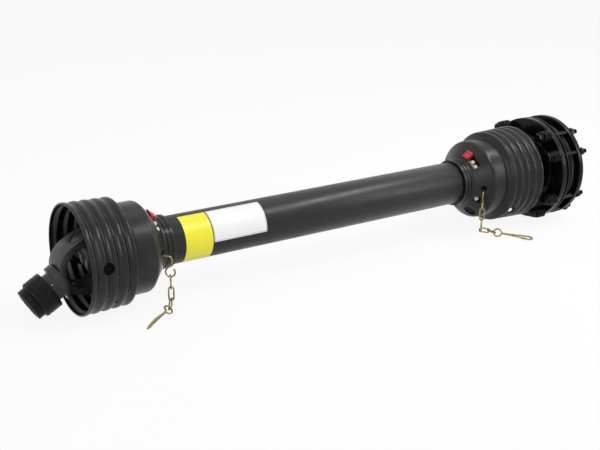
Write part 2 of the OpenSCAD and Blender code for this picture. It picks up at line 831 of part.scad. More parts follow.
module front_yoke_caps() { color(steel) at_yoke() rotate([90, 0, 0]) caps(); }
module front_tube_caps() { color(steel) at_front() caps(); }
module front_yoke_circlips() { color(steel) at_yoke() rotate([90, 0, 0]) circlips(); }
module front_tube_circlips() { color(steel) at_front() circlips(); }
module front_grease_nipple() { color(steel) at_front() rotate([0, -droop, 0]) nipple(); }
module front_tube_yoke() { color(paint) at_front() tube_yoke(front_hub_r, outer_tube_base); }
module outer_drive_tube() {
    color(steel) tube_with_pin_hole(outer_tube_base, outer_tube_wall, front_x + socket_start,
        outer_drive_end, front_x + pin_x);
}
module front_tube_pin() { color(steel) at_front() tube_pin(front_hub_r); }

module guard_skirt_front() {
    color(guard_grey) at_front() in_bell() difference() {
        lathe() skirt_section();
        rib_hole(front_grease_hole);
        rib_hole(front_drain_hole);
    }
}
module guard_bell_front() {
    color(guard_grey) at_front() in_bell() bell(front_chain_deg, guard_r);
}
module guard_bearing_front() { color(cream) at_front() bearing_ring(); }
module lock_tab_front() { color(red) at_front() lock_tab(); }
module guard_tube_outer() {
    color(guard_grey) ring(guard_r, guard_r - guard_wall, front_x - rim_offset + tube_seat,
        guard_outer_end);
}
module yellow_field() {
    color(yellow) field(yellow_from, yellow_to, field_from_deg, yellow_to_deg);
}
module white_field() {
    color(white) field(yellow_to + field_gap, white_to, field_from_deg, white_to_deg);
}
module s_hook_front() { color(zinc) at_front() in_bell() s_hook(front_chain_deg); }
module chain_link_front_1() { color(zinc) chain_link(front_chain, 0); }
module chain_link_front_2() { color(zinc) chain_link(front_chain, 1); }
module chain_link_front_3() { color(zinc) chain_link(front_chain, 2); }
module snap_hook_front() { color(zinc) hook_at(front_chain); }

module rear_tube_yoke() { color(paint) at_rear() tube_yoke(rear_hub_r, inner_tube_base); }
module inner_drive_tube() {
    color(steel) mirror([1, 0, 0]) tube_with_pin_hole(inner_tube_base, inner_tube_wall,
        -rear_x + socket_start, -inner_drive_end, -rear_x + pin_x);
}
module rear_tube_pin() { color(steel) at_rear() tube_pin(rear_hub_r); }
module guard_skirt_rear() {
    color(guard_grey) at_rear() in_bell() difference() {
        lathe() skirt_section();
        rib_hole(rear_grease_hole);
    }
}
module guard_bell_rear() {
    color(guard_grey) at_rear() in_bell() bell(rear_chain_deg, guard_inner_r);
}
module guard_bearing_rear() { color(cream) at_rear() bearing_ring(); }
module lock_tab_rear() { color(red) at_rear() lock_tab(); }
module guard_tube_inner() {
    color(guard_grey) ring(guard_inner_r, guard_inner_r - guard_wall, guard_inner_end,
        rear_x + rim_offset - tube_seat);
}
module s_hook_rear() { color(zinc) at_rear() in_bell() s_hook(rear_chain_deg); }
module chain_link_rear_1() { color(zinc) chain_link(rear_chain, 0); }
module chain_link_rear_2() { color(zinc) chain_link(rear_chain, 1); }
module chain_link_rear_3() { color(zinc) chain_link(rear_chain, 2); }
module chain_link_rear_4() { color(zinc) chain_link(rear_chain, 3); }
module snap_hook_rear() { color(zinc) hook_at(rear_chain); }

module rear_cross() { color(steel) at_rear() cross_body(); }
module rear_cross_seals() { color(rubber) at_rear() cross_seals(); }
module rear_tube_caps() { color(steel) at_rear() caps(); }
module rear_flange_caps() { color(steel) at_rear() rotate([90, 0, 0]) caps(); }
module rear_tube_circlips() { color(steel) at_rear() circlips(); }
module rear_flange_circlips() { color(steel) at_rear() rotate([90, 0, 0]) circlips(); }
module rear_grease_nipple() { color(steel) at_rear() nipple(); }

module clutch_flange_yoke() { color(black) flange_yoke(); }
module clutch_drive_ring() {
    color(black) drilled_plate(disc_r - drive_ring_in, drive_ring_l,
        drive_ring_l + drive_ring_t);
}
module clutch_pressure_plate() {
    color(black) drilled_plate(hub_boss_r + plate_bore_in, plate_l, plate_r_face);
}
module clutch_bolts() {
    color(steel) at_bolts() {
        hex(hex_r, spring_l - washer_t - head_t, spring_l - washer_t);
        rod(bolt_r, spring_l - washer_t, bolt_end);
    }
}
module clutch_washers() {
    color(steel) at_bolts() ring(washer_r, bolt_r, spring_l - washer_t, spring_l);
}
module clutch_springs() {
    color(black) at_bolts() coil_spring(spring_r - spring_wire_r, spring_wire_r, spring_l,
        flange_l, spring_coils);
}
module clutch_nuts() {
    color(steel) at_bolts() difference() {
        hex(hex_r, plate_r_face, plate_r_face + nut_t);
        rod(bolt_r, plate_r_face - over, plate_r_face + nut_t + over);
    }
}
module hub_bush() {
    color(bronze) ring(spigot_r + bush_t, spigot_r, spigot_l, flange_r_face);
}
module clutch_hub() { color(paint) hub_body(); }
module clutch_lined_disc() { color(lining) ring(disc_r, hub_boss_r, flange_r_face, drive_ring_l); }
module friction_rings() {
    color(lining) for (x = [ring_a_l, ring_b_l])
        ring(disc_r, hub_boss_r + friction_ring_in, x, x + ring_t);
}
module hub_set_screw() {
    screw_l = hub_nose_r - spline_major_r - set_screw_l_in;
    color(steel) translate([plate_r_face / 2, 0, spline_major_r + set_screw_up]) difference() {
        cylinder(r = pin_r, h = screw_l);
        translate([0, 0, screw_l - set_screw_key])
            cylinder(r = set_screw_key_r, h = 3 * set_screw_key, $fn = 6);
    }
}

quick_release_yoke();
release_collar();
release_spring();
lock_balls();
collar_end_ring();
front_cross();
front_cross_seals();
front_yoke_caps();
front_tube_caps();
front_yoke_circlips();
front_tube_circlips();
front_grease_nipple();
front_tube_yoke();
outer_drive_tube();
front_tube_pin();
guard_skirt_front();
guard_bell_front();
guard_bearing_front();
lock_tab_front();
guard_tube_outer();
yellow_field();
white_field();
s_hook_front();
chain_link_front_1();
chain_link_front_2();
chain_link_front_3();
snap_hook_front();
rear_tube_yoke();
inner_drive_tube();
rear_tube_pin();
guard_skirt_rear();
guard_bell_rear();
guard_bearing_rear();
lock_tab_rear();
guard_tube_inner();
s_hook_rear();
chain_link_rear_1();
chain_link_rear_2();
chain_link_rear_3();
chain_link_rear_4();
snap_hook_rear();
rear_cross();
rear_cross_seals();
rear_tube_caps();
rear_flange_caps();
rear_tube_circlips();
rear_flange_circlips();
rear_grease_nipple();
clutch_flange_yoke();
clutch_drive_ring();
clutch_pressure_plate();
clutch_bolts();
clutch_washers();
clutch_springs();
clutch_nuts();
hub_bush();
clutch_hub();
clutch_lined_disc();
friction_rings();
hub_set_screw();
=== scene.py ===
"""Looks of a PTO drive shaft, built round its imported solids.

The frame is the solids' own, in metres: +X runs along the shaft to the implement, +Z is up
and the origin is on the axis at the mouth of the clutch hub. Sizes in the classes below are
in millimetres, and angles round the shaft start at +Y and turn to +Z.
"""

import json
import logging
import math
from dataclasses import dataclass, field
from enum import Enum
from typing import Any, Sequence

import bmesh
import bpy
from mathutils import Matrix, Vector


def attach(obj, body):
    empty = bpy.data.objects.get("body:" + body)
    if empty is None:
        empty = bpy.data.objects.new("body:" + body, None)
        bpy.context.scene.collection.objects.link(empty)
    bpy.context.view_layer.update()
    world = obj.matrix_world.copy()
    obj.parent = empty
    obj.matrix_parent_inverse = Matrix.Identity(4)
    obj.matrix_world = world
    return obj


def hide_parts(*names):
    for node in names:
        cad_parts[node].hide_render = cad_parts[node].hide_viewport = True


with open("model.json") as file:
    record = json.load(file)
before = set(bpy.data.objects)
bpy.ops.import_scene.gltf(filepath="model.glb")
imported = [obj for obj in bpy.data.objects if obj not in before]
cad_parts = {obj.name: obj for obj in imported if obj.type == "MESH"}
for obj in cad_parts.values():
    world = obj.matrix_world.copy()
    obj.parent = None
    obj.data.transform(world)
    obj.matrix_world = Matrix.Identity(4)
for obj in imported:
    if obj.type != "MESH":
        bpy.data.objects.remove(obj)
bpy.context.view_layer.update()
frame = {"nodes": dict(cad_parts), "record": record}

LOG = logging.getLogger("drive_shaft")
MM = 0.001
RIM_OFFSET = 30.4
DROOP = 29.5
WHOLE = (0.0, 1.0)
WELD = 2e-6
SLIVER = 1e-6
COPY_WELD = 3e-6
COPY_SLIVER = 2e-6
FLAT_DEG = 0.8

Colour = tuple[float, float, float]
Point = tuple[float, float, float]
Range = tuple[float, float]
Section = list[tuple[float, float]]
Object = bpy.types.Object
Material = bpy.types.Material


class End(Enum):
    """The two ends of the shaft: the word in the nodes' names, the joint's centre, the way in."""

    TRACTOR = ("front", -889.6, 1)
    IMPLEMENT = ("rear", -133.4, -1)

    def __init__(self, word: str, joint_x: float, inward: int) -> None:
        """Keeps what sets the two ends apart.

        Args:
            word: The word in the nodes' names.
            joint_x: Place of the joint's centre along the shaft.
            inward: 1 or -1, the sign of the way to the tubes.
        """
        self.word = word
        self.joint_x = joint_x
        self.inward = inward

    def at(self, u: float) -> float:
        """The place along the shaft of a point u in from the bell's rim."""
        return self.joint_x + self.inward * (u - RIM_OFFSET)


class Slot(Enum):
    """The record's material slots."""

    YOKE = "yoke_paint"
    CLUTCH = "clutch_paint"
    COLLAR = "collar_black"
    GUARD = "guard_plastic"
    TUBE = "tube_plastic"
    NYLON = "nylon"
    RED = "red_plastic"
    YELLOW = "yellow_film"
    WHITE = "white_film"
    LINING = "lining"
    BRONZE = "bronze"
    RUBBER = "seal_rubber"
    ZINC = "yellow_zinc"
    STEEL = "bright_steel"
    OILED = "oiled_steel"


# Mesh making


def object_from(name: str, points: Sequence[Point], faces: Sequence[Sequence[int]],
                edges: Sequence[tuple[int, int]] = ()) -> Object:
    """Makes a mesh object from points in millimetres.

    Args:
        name: Name of the new object.
        points: Corners in millimetres.
        faces: Faces as corner numbers.
        edges: Loose edges as corner numbers.

    Returns:
        The object, linked to the scene.
    """
    mesh = bpy.data.meshes.new(name)
    mesh.from_pydata([[c * MM for c in p] for p in points], list(edges), list(faces))
    mesh.update()
    obj = bpy.data.objects.new(name, mesh)
    bpy.context.scene.collection.objects.link(obj)
    return obj


def tidy(obj: Object, outward: bool = True) -> Object:
    """Merges doubles and turns the faces outward.

    Args:
        obj: The object to mend.
        outward: Whether to work the normals out anew.

    Returns:
        The same object.
    """
    bm = bmesh.new()
    bm.from_mesh(obj.data)
    bmesh.ops.remove_doubles(bm, verts=bm.verts, dist=WELD)
    bmesh.ops.dissolve_degenerate(bm, edges=bm.edges, dist=SLIVER)
    if outward:
        bmesh.ops.recalc_face_normals(bm, faces=bm.faces)
    bm.to_mesh(obj.data)
    bm.free()
    return obj


def smooth(obj: Object, angle: float = 33.0) -> Object:
    """Shades a piece smooth, but for its sharp edges.

    Args:
        obj: The piece.
        angle: Edges sharper than this many degrees stay sharp.

    Returns:
        The same piece.
    """
    obj.data.polygons.foreach_set("use_smooth", [True] * len(obj.data.polygons))
    obj.data.set_sharp_from_angle(angle=math.radians(angle))
    return obj


def settle(obj: Object) -> Object:
    """Turns a piece and its modifiers into a plain mesh with no modifier.

    Args:
        obj: The object whose modifiers are applied.

    Returns:
        The same object, with its new mesh.
    """
    depsgraph = bpy.context.evaluated_depsgraph_get()
    mesh = bpy.data.meshes.new_from_object(obj.evaluated_get(depsgraph))
    old = obj.data
    obj.modifiers.clear()
    obj.data = mesh
    if old.users == 0:
        bpy.data.meshes.remove(old)
    return obj


def cut(obj: Object, cutter: Object, operation: str = "DIFFERENCE") -> Object:
    """Cuts one shape from another, or keeps what both share, and removes the cutter.

    Args:
        obj: The piece that is cut.
        cutter: The shape that cuts it.
        operation: The Boolean modifier's operation.

    Returns:
        The cut piece.
    """
    modifier = obj.modifiers.new("cut", "BOOLEAN")
    modifier.operation = operation
    modifier.solver = "EXACT"
    modifier.object = cutter
    settle(obj)
    bpy.data.objects.remove(cutter)
    return obj


def round_section(section: Section, radius: float, steps: int = 3) -> Section:
    """Rounds the corners of a closed half-section.

    Args:
        section: Corners as (x, r) in millimetres.
        radius: Distance from each corner at which its rounding starts.
        steps: Number of short sides in each rounding.

    Returns:
        The rounded half-section.
    """
    out: Section = []
    count = len(section)
    for i, corner in enumerate(section):
        here = Vector(corner)
        before, after = Vector(section[i - 1]) - here, Vector(section[(i + 1) % count]) - here
        reach = min(radius, 0.45 * before.length, 0.45 * after.length)
        if here.y < 0.01 or before.angle(-after, 0.0) < math.radians(12):
            out.append(corner)
            continue
        start, end = here + reach * before.normalized(), here + reach * after.normalized()
        for k in range(steps + 1):
            t = k / steps
            out.append(tuple((1 - t) ** 2 * start + 2 * t * (1 - t) * here + t * t * end))
    return out


def lathe(name: str, section: Section, steps: int = 128, start: float = 0.0,
          sweep: float = 360.0) -> Object:
    """Turns a closed half-section about the X axis.

    Args:
        name: Name of the new object.
        section: Corners as (x, r) in millimetres.
        steps: Number of steps round.
        start: First angle in degrees.
        sweep: Angle swept in degrees.

    Returns:
        The turned piece, closed, with its faces outward.
    """
    whole = sweep >= 360.0
    rows = steps if whole else steps + 1
    count = len(section)
    points: list[Point] = []
    for k in range(rows):
        a = math.radians(start + sweep * k / steps)
        points += [(x, r * math.cos(a), r * math.sin(a)) for x, r in section]
    faces = [(k * count + i, k * count + (i + 1) % count,
              (k + 1) % rows * count + (i + 1) % count, (k + 1) % rows * count + i)
             for k in range(steps) for i in range(count)]
    if not whole:
        faces += [tuple(range(count)), tuple(range(steps * count, (steps + 1) * count))]
    return tidy(object_from(name, points, faces))


def joined(name: str, parts: Sequence[Object]) -> Object:
    """Joins several meshes into one object.

    Args:
        name: Name of the joined object.
        parts: The objects, which are removed.

    Returns:
        The joined object.
    """
    bm = bmesh.new()
    for part in parts:
        part.data.transform(part.matrix_world)
        bm.from_mesh(part.data)
    mesh = bpy.data.meshes.new(name)
    bm.to_mesh(mesh)
    bm.free()
    for part in parts:
        bpy.data.objects.remove(part)
    obj = bpy.data.objects.new(name, mesh)
    bpy.context.scene.collection.objects.link(obj)
    return obj


def hexagon(name: str, radius: float, x0: float, x1: float, chamfer: float) -> Object:
    """Makes a hexagon along X with its corners turned off at both ends.

    Args:
        name: Name of the new object.
        radius: Distance from the axis to a corner.
        x0: First end.
        x1: Second end.
        chamfer: How far in the corners are turned off.

    Returns:
        The hexagon.
    """
    points = [(x, radius * math.cos(math.pi * k / 3), radius * math.sin(math.pi * k / 3))
              for x in (x0, x1) for k in range(6)]
    faces = [tuple(range(6)), tuple(range(6, 12))] + [
        (k, (k + 1) % 6, 6 + (k + 1) % 6, 6 + k) for k in range(6)]
    body = tidy(object_from(name, points, faces))
    inner, outer, slope = radius - chamfer, radius + 0.01, 0.55 * chamfer
    turned = lathe(name + "_turned", [
        (x0, 0), (x0, inner), (x0 + slope, outer), (x1 - slope, outer), (x1, inner), (x1, 0)],
        steps=48)
    return cut(body, turned, "INTERSECT")


# Geometry Nodes


class NodeTree:
    """A node tree that is built node by node."""

    tree: Any

    def feed(self, node: Any, key: Any, value: Any) -> None:
        """Joins a socket to an input, or sets the input's value.

        Args:
            node: The node with the input.
            key: The input's name or number.
            value: A socket, a value, or None to leave the input as it is.
        """
        if isinstance(value, bpy.types.NodeSocket):
            self.tree.links.new(value, node.inputs[key])
        elif value is not None:
            target = node.inputs[key]
            long = hasattr(target.default_value, "__len__") and len(target.default_value) == 4
            target.default_value = (*value, 1.0) if long and len(value) == 3 else value

    def node(self, kind: str, feeds: dict[Any, Any] | None = None, **settings: Any) -> Any:
        """Adds a node.

        Args:
            kind: The node's type.
            feeds: Input name or number to a socket or a value.
            settings: The node's own settings.

        Returns:
            The node.
        """
        node = self.tree.nodes.new(kind)
        for key, value in settings.items():
            setattr(node, key, value)
        for key, value in (feeds or {}).items():
            self.feed(node, key, value)
        return node

    def sum(self, operation: str, a: Any, b: Any = 0.0) -> Any:
        """Works one number out of two.

        Args:
            operation: The Math node's operation.
            a: First number or socket.
            b: Second number or socket.

        Returns:
            The result's socket.
        """
        return self.node("ShaderNodeMath", {0: a, 1: b}, operation=operation).outputs[0]


class Routine(NodeTree):
    """A Geometry Nodes tree with named inputs."""

    def __init__(self, name: str) -> None:
        """Starts the tree with its geometry in and out.

        Args:
            name: Name of the tree.
        """
        self.tree = bpy.data.node_groups.new(name, "GeometryNodeTree")
        self.tree.interface.new_socket("Geometry", in_out="INPUT",
                                       socket_type="NodeSocketGeometry")
        self.tree.interface.new_socket("Geometry", in_out="OUTPUT",
                                       socket_type="NodeSocketGeometry")
        self.start = self.tree.nodes.new("NodeGroupInput")
        self.end = self.tree.nodes.new("NodeGroupOutput")

    def size(self, name: str, kind: str = "NodeSocketFloat", value: Any = None) -> Any:
        """Adds a named input.

        Args:
            name: Name of the input.
            kind: Socket type.
            value: Default value, or None.

        Returns:
            The input's socket inside the tree.
        """
        item = self.tree.interface.new_socket(name, in_out="INPUT", socket_type=kind)
        if value is not None:
            item.default_value = value
        return self.start.outputs[name]

    def close(self, geometry: Any) -> "Routine":
        """Ends the tree with Realize Instances, smooth shading and Set Material.

        Args:
            geometry: The last geometry socket.

        Returns:
            The routine itself.
        """
        finish = self.size("Finish", "NodeSocketMaterial")
        real = self.node("GeometryNodeRealizeInstances", {0: geometry})
        soft = self.node("GeometryNodeSetShadeSmooth", {0: real.outputs[0]})
        dressed = self.node("GeometryNodeSetMaterial", {"Geometry": soft.outputs[0],
                                                        "Material": finish})
        self.tree.links.new(dressed.outputs[0], self.end.inputs[0])
        return self

    def run(self, obj: Object, **sizes: Any) -> Object:
        """Puts the tree on an object, sets its inputs and makes the result a plain mesh.

        Args:
            obj: The object that the tree works on.
            sizes: Input names, with _ for a space, and their values.

        Returns:
            The same object with its new mesh.
        """
        modifier = obj.modifiers.new(self.tree.name, "NODES")
        modifier.node_group = self.tree
        named = {key.replace("_", " "): value for key, value in sizes.items()}
        for item in self.tree.interface.items_tree:
            if item.item_type == "SOCKET" and item.in_out == "INPUT" and item.name in named:
                modifier[item.identifier] = named[item.name]
        return settle(obj)


def wire_routine() -> Routine:
    """A round wire drawn along a line of points, through them on a smooth curve.

    Returns:
        The routine.
    """
    r = Routine("Round wire")
    radius = r.size("Wire radius", value=0.001)
    sides = r.size("Sides", "NodeSocketInt", 16)
    fineness = r.size("Fineness", "NodeSocketInt", 4)
    curve = r.node("GeometryNodeMeshToCurve", {0: r.start.outputs["Geometry"]})
    kind = r.node("GeometryNodeCurveSplineType", {0: curve.outputs[0]}, spline_type="CATMULL_ROM")
    fine = r.node("GeometryNodeSetSplineResolution", {"Geometry": kind.outputs[0],
                                                      "Resolution": fineness})
    ring = r.node("GeometryNodeCurvePrimitiveCircle", {"Resolution": sides, "Radius": radius})
    wire = r.node("GeometryNodeCurveToMesh", {"Curve": fine.outputs[0],
                                              "Profile Curve": ring.outputs[0],
                                              "Fill Caps": True})
    return r.close(wire.outputs[0])


def placed(r: Routine, geometry: Any) -> Any:
    """Repeats a shape at every point of the object, turned about X by the point's own turn.

    Args:
        r: The routine being built.
        geometry: The shape's socket.

    Returns:
        The socket of the instances.
    """
    turn = r.node("GeometryNodeInputNamedAttribute", {"Name": "turn"}, data_type="FLOAT")
    euler = r.node("ShaderNodeCombineXYZ", {0: turn.outputs[0]})
    rotation = r.node("FunctionNodeEulerToRotation", {0: euler.outputs[0]})
    points = r.node("GeometryNodeMeshToPoints", {0: r.start.outputs["Geometry"]})
    return r.node("GeometryNodeInstanceOnPoints", {
        "Points": points.outputs[0], "Instance": geometry,
        "Rotation": rotation.outputs[0]}).outputs[0]


def fastener_routine() -> Routine:
    """A made fastener repeated at every bolt place.

    Returns:
        The routine.
    """
    r = Routine("Fasteners at the bolts")
    piece = r.size("Piece", "NodeSocketObject")
    info = r.node("GeometryNodeObjectInfo", {"Object": piece})
    return r.close(placed(r, info.outputs["Geometry"]))


def spring_routine() -> Routine:
    """A coil spring along X at every bolt place, with its ends tucked in.

    Returns:
        The routine.
    """
    r = Routine("Clutch springs")
    mean = r.size("Mean radius", value=0.0084)
    wire = r.size("Wire radius", value=0.0016)
    length = r.size("Length", value=0.0205)
    start = r.size("Start", value=-0.0885)
    coils = r.size("Coils", value=5.0)
    steps = r.size("Steps a coil", "NodeSocketInt", 26)
    sides = r.size("Sides", "NodeSocketInt", 12)
    reach = r.sum("SUBTRACT", length, r.sum("MULTIPLY", wire, 2.0))
    spiral = r.node("GeometryNodeCurveSpiral", {
        "Resolution": steps, "Rotations": coils, "Start Radius": mean, "End Radius": mean,
        "Height": reach})
    ring = r.node("GeometryNodeCurvePrimitiveCircle", {"Resolution": sides, "Radius": wire})
    coil = r.node("GeometryNodeCurveToMesh", {"Curve": spiral.outputs[0],
                                              "Profile Curve": ring.outputs[0],
                                              "Fill Caps": True})
    shift = r.node("ShaderNodeCombineXYZ", {0: r.sum("ADD", start, wire)})
    along = r.node("GeometryNodeTransform", {"Geometry": coil.outputs[0],
                                             "Translation": shift.outputs[0]})
    turn = Matrix(((0, 0, 1), (1, 0, 0), (0, 1, 0))).to_euler()
    along.inputs["Rotation"].default_value = turn
    return r.close(placed(r, along.outputs[0]))


def rib_routine() -> Routine:
    """Presses rounded valleys between the ribs into a plain skirt turned about X.

    Returns:
        The routine.
    """
    r = Routine("Skirt ribs")
    rim = r.size("Rim", value=0.0)
    way = r.size("Way in", value=1.0)
    crest = r.size("First crest", value=0.003)
    pitch = r.size("Pitch", value=0.0151)
    depth = r.size("Depth", value=0.0034)
    power = r.size("Valley power", value=1.6)
    last = r.size("Ribbed to", value=0.0644)
    place = r.node("GeometryNodeInputPosition")
    xyz = r.node("ShaderNodeSeparateXYZ", {0: place.outputs[0]})
    u = r.sum("MULTIPLY", r.sum("SUBTRACT", xyz.outputs[0], rim), way)
    phase = r.sum("MULTIPLY", r.sum("DIVIDE", r.sum("SUBTRACT", u, crest), pitch), math.tau)
    dip = r.sum("DIVIDE", r.sum("SUBTRACT", 1.0, r.sum("COSINE", phase)), 2.0)
    press = r.sum("MULTIPLY", r.sum("POWER", dip, power), depth)
    ribbed = r.sum("LESS_THAN", u, last)
    press = r.sum("MULTIPLY", press, ribbed)
    flat = r.node("ShaderNodeCombineXYZ", {1: xyz.outputs[1], 2: xyz.outputs[2]})
    out = r.node("ShaderNodeVectorMath", {0: flat.outputs[0]}, operation="NORMALIZE")
    back = r.sum("MULTIPLY", press, -1.0)
    offset = r.node("ShaderNodeVectorMath", {0: out.outputs[0], "Scale": back},
                    operation="SCALE")
    moved = r.node("GeometryNodeSetPosition", {"Geometry": r.start.outputs["Geometry"],
                                               "Offset": offset.outputs[0]})
    return r.close(moved.outputs[0])


# Finishes


@dataclass(frozen=True)
class Layer:
    """A noise: waves per metre, layers of finer noise, their weight and its stretch, if any."""

    scale: float
    detail: float
    rough: float
    stretch: Point | None = None


class Recipe(NodeTree):
    """A material's node tree round one Principled shader."""

    def __init__(self, name: str) -> None:
        """Starts a material with one Principled shader and the object's own coordinates.

        Args:
            name: Name of the material.
        """
        self.material = bpy.data.materials.new(name)
        self.material.use_nodes = True
        self.tree = self.material.node_tree
        self.tree.nodes.clear()
        out = self.node("ShaderNodeOutputMaterial")
        self.shader = self.node("ShaderNodeBsdfPrincipled")
        self.tree.links.new(self.shader.outputs["BSDF"], out.inputs["Surface"])
        self.place = self.node("ShaderNodeTexCoord").outputs["Object"]

    def surface(self, **values: Any) -> None:
        """Sets the shader's inputs.

        Args:
            values: Input names, with _ for a space, and their sockets or values.
        """
        for key, value in values.items():
            self.feed(self.shader, key.replace("_", " "), value)

    def noise(self, layer: Layer) -> Any:
        """Cloudy noise from 0 to 1.

        Args:
            layer: The noise's numbers.

        Returns:
            The noise's socket.
        """
        place = self.place
        if layer.stretch is not None:
            place = self.node("ShaderNodeMapping", {"Vector": self.place,
                                                    "Scale": layer.stretch}).outputs[0]
        return self.node("ShaderNodeTexNoise", {
            "Vector": place, "Scale": layer.scale, "Detail": layer.detail,
            "Roughness": layer.rough}).outputs["Fac"]

    def span(self, value: Any, source: Range, target: Range) -> Any:
        """Maps a range of numbers onto another, held at its ends.

        Args:
            value: The socket that is mapped.
            source: The range it comes from.
            target: The range it goes to.

        Returns:
            The mapped socket.
        """
        return self.node("ShaderNodeMapRange", {
            "Value": value, "From Min": source[0], "From Max": source[1],
            "To Min": target[0], "To Max": target[1]}).outputs[0]

    def rough(self, value: Any, source: Range, gloss: float, spread: Range) -> Any:
        """Maps a range of numbers onto the roughness round a middle value.

        Args:
            value: The socket that is mapped.
            source: The range it comes from.
            gloss: The middle roughness.
            spread: How far the roughness goes below and above it.

        Returns:
            The roughness's socket.
        """
        return self.span(value, source, (gloss + spread[0], gloss + spread[1]))

    def blend(self, amount: Any, first: Any, second: Any) -> Any:
        """Mixes two colours.

        Args:
            amount: Share of the second, 0 to 1.
            first: Colour or socket.
            second: Colour or socket.

        Returns:
            The mixed colour's socket.
        """
        node = self.node("ShaderNodeMix", {"Factor": amount}, data_type="RGBA")
        self.feed(node, 6, first)
        self.feed(node, 7, second)
        return node.outputs[2]

    def bump(self, height: Any, depth_mm: float, strength: float = 1.0, under: Any = None) -> Any:
        """A bumped normal.

        Args:
            height: Height socket, 0 to 1.
            depth_mm: Depth in millimetres.
            strength: Strength of the bump.
            under: Normal beneath it, or None.

        Returns:
            The normal's socket.
        """
        feeds = {"Height": height, "Distance": depth_mm * MM, "Strength": strength}
        if under is not None:
            feeds["Normal"] = under
        return self.node("ShaderNodeBump", feeds).outputs[0]

    def edges(self, radius_mm: float, spread: float = 0.12, flat: float = 0.995) -> Any:
        """A mask that is 1 on outer edges and corners and 0 on open faces.

        Args:
            radius_mm: How far from an edge the mask reaches.
            spread: How soon it is full.
            flat: Cosine above which a face counts as open.

        Returns:
            The mask's socket.
        """
        soft = self.node("ShaderNodeBevel", {"Radius": radius_mm * MM}, samples=4)
        true = self.node("ShaderNodeNewGeometry").outputs["Normal"]
        dot = self.node("ShaderNodeVectorMath", {0: soft.outputs[0], 1: true},
                        operation="DOT_PRODUCT").outputs["Value"]
        return self.span(dot, (1.0 - spread, flat), (1.0, 0.0))


@dataclass(frozen=True)
class MouldedPlastic:
    """Injection-moulded plastic: fine spark-eroded grain, flow clouds and a little dust."""

    name: str
    colour: Colour
    shade: Colour
    gloss: float = 0.42
    grain: float = 2600.0
    grain_mm: float = 0.02
    dust: float = 0.10
    shine: float = 0.28
    dust_colour: Colour = (0.12, 0.115, 0.105)
    clouds: Layer = Layer(26.0, 4.0, 0.6)
    cloud_range: Range = (0.35, 0.68)
    specks: Layer = Layer(900.0, 2.0, 0.6)
    speck_share: float = 0.4
    dust_range: Range = (0.24, 0.42)
    rough_range: Range = (0.5, 0.9)
    rough_spread: Range = (-0.06, 0.10)
    waves: Layer = Layer(60.0, 2.0, 0.5)
    wave_mm: float = 0.12
    wave_strength: float = 0.35
    grain_strength: float = 0.55

    def make(self) -> Material:
        """Builds the material.

        Returns:
            The material.
        """
        r = Recipe(self.name)
        clouds, speck = r.noise(self.clouds), r.noise(self.specks)
        tint = r.blend(r.span(clouds, self.cloud_range, WHOLE), self.colour, self.shade)
        dusty = r.span(r.sum("MULTIPLY", clouds, speck), self.dust_range, (0.0, self.dust))
        tint = r.blend(dusty, tint, self.dust_colour)
        grain = r.noise(Layer(self.grain, 2.0, 0.7))
        mottle = r.sum("ADD", clouds, r.sum("MULTIPLY", speck, self.speck_share))
        low = r.bump(r.noise(self.waves), self.wave_mm, self.wave_strength)
        r.surface(Base_Color=tint,
                  Roughness=r.rough(mottle, self.rough_range, self.gloss, self.rough_spread),
                  Normal=r.bump(grain, self.grain_mm, self.grain_strength, low),
                  Specular_IOR_Level=self.shine)
        return r.material


@dataclass(frozen=True)
class DrawnPlastic:
    """Extruded tube plastic: fine draw lines along the tube, scuffs and haze."""

    name: str
    colour: Colour
    shade: Colour
    gloss: float = 0.38
    shine: float = 0.32
    scuff_colour: Colour = (0.10, 0.10, 0.10)
    lines: Layer = Layer(1.0, 3.0, 0.6, (3.0, 700.0, 700.0))
    line_mm: float = 0.035
    line_strength: float = 0.5
    broad: Layer = Layer(1.0, 2.0, 0.5, (5.0, 60.0, 60.0))
    broad_range: Range = (0.35, 0.65)
    haze: Layer = Layer(30.0, 4.0, 0.65)
    scuffs: Layer = Layer(1.0, 5.0, 0.75, (90.0, 900.0, 900.0))
    scuff_range: Range = (0.36, 0.46)
    scuff_most: float = 0.5
    scuff_tint: float = 0.30
    scuff_rough: float = 0.6
    rough_range: Range = (0.35, 0.95)
    rough_spread: Range = (-0.05, 0.16)

    def make(self) -> Material:
        """Builds the material.

        Returns:
            The material.
        """
        r = Recipe(self.name)
        lines, broad = r.noise(self.lines), r.noise(self.broad)
        haze, scuff = r.noise(self.haze), r.noise(self.scuffs)
        marks = r.span(r.sum("MULTIPLY", scuff, haze), self.scuff_range, (0.0, self.scuff_most))
        tint = r.blend(r.span(broad, self.broad_range, WHOLE), self.colour, self.shade)
        tint = r.blend(r.sum("MULTIPLY", marks, self.scuff_tint), tint, self.scuff_colour)
        mottle = r.sum("ADD", haze, r.sum("MULTIPLY", marks, self.scuff_rough))
        r.surface(Base_Color=tint,
                  Roughness=r.rough(mottle, self.rough_range, self.gloss, self.rough_spread),
                  Normal=r.bump(lines, self.line_mm, self.line_strength),
                  Specular_IOR_Level=self.shine)
        return r.material


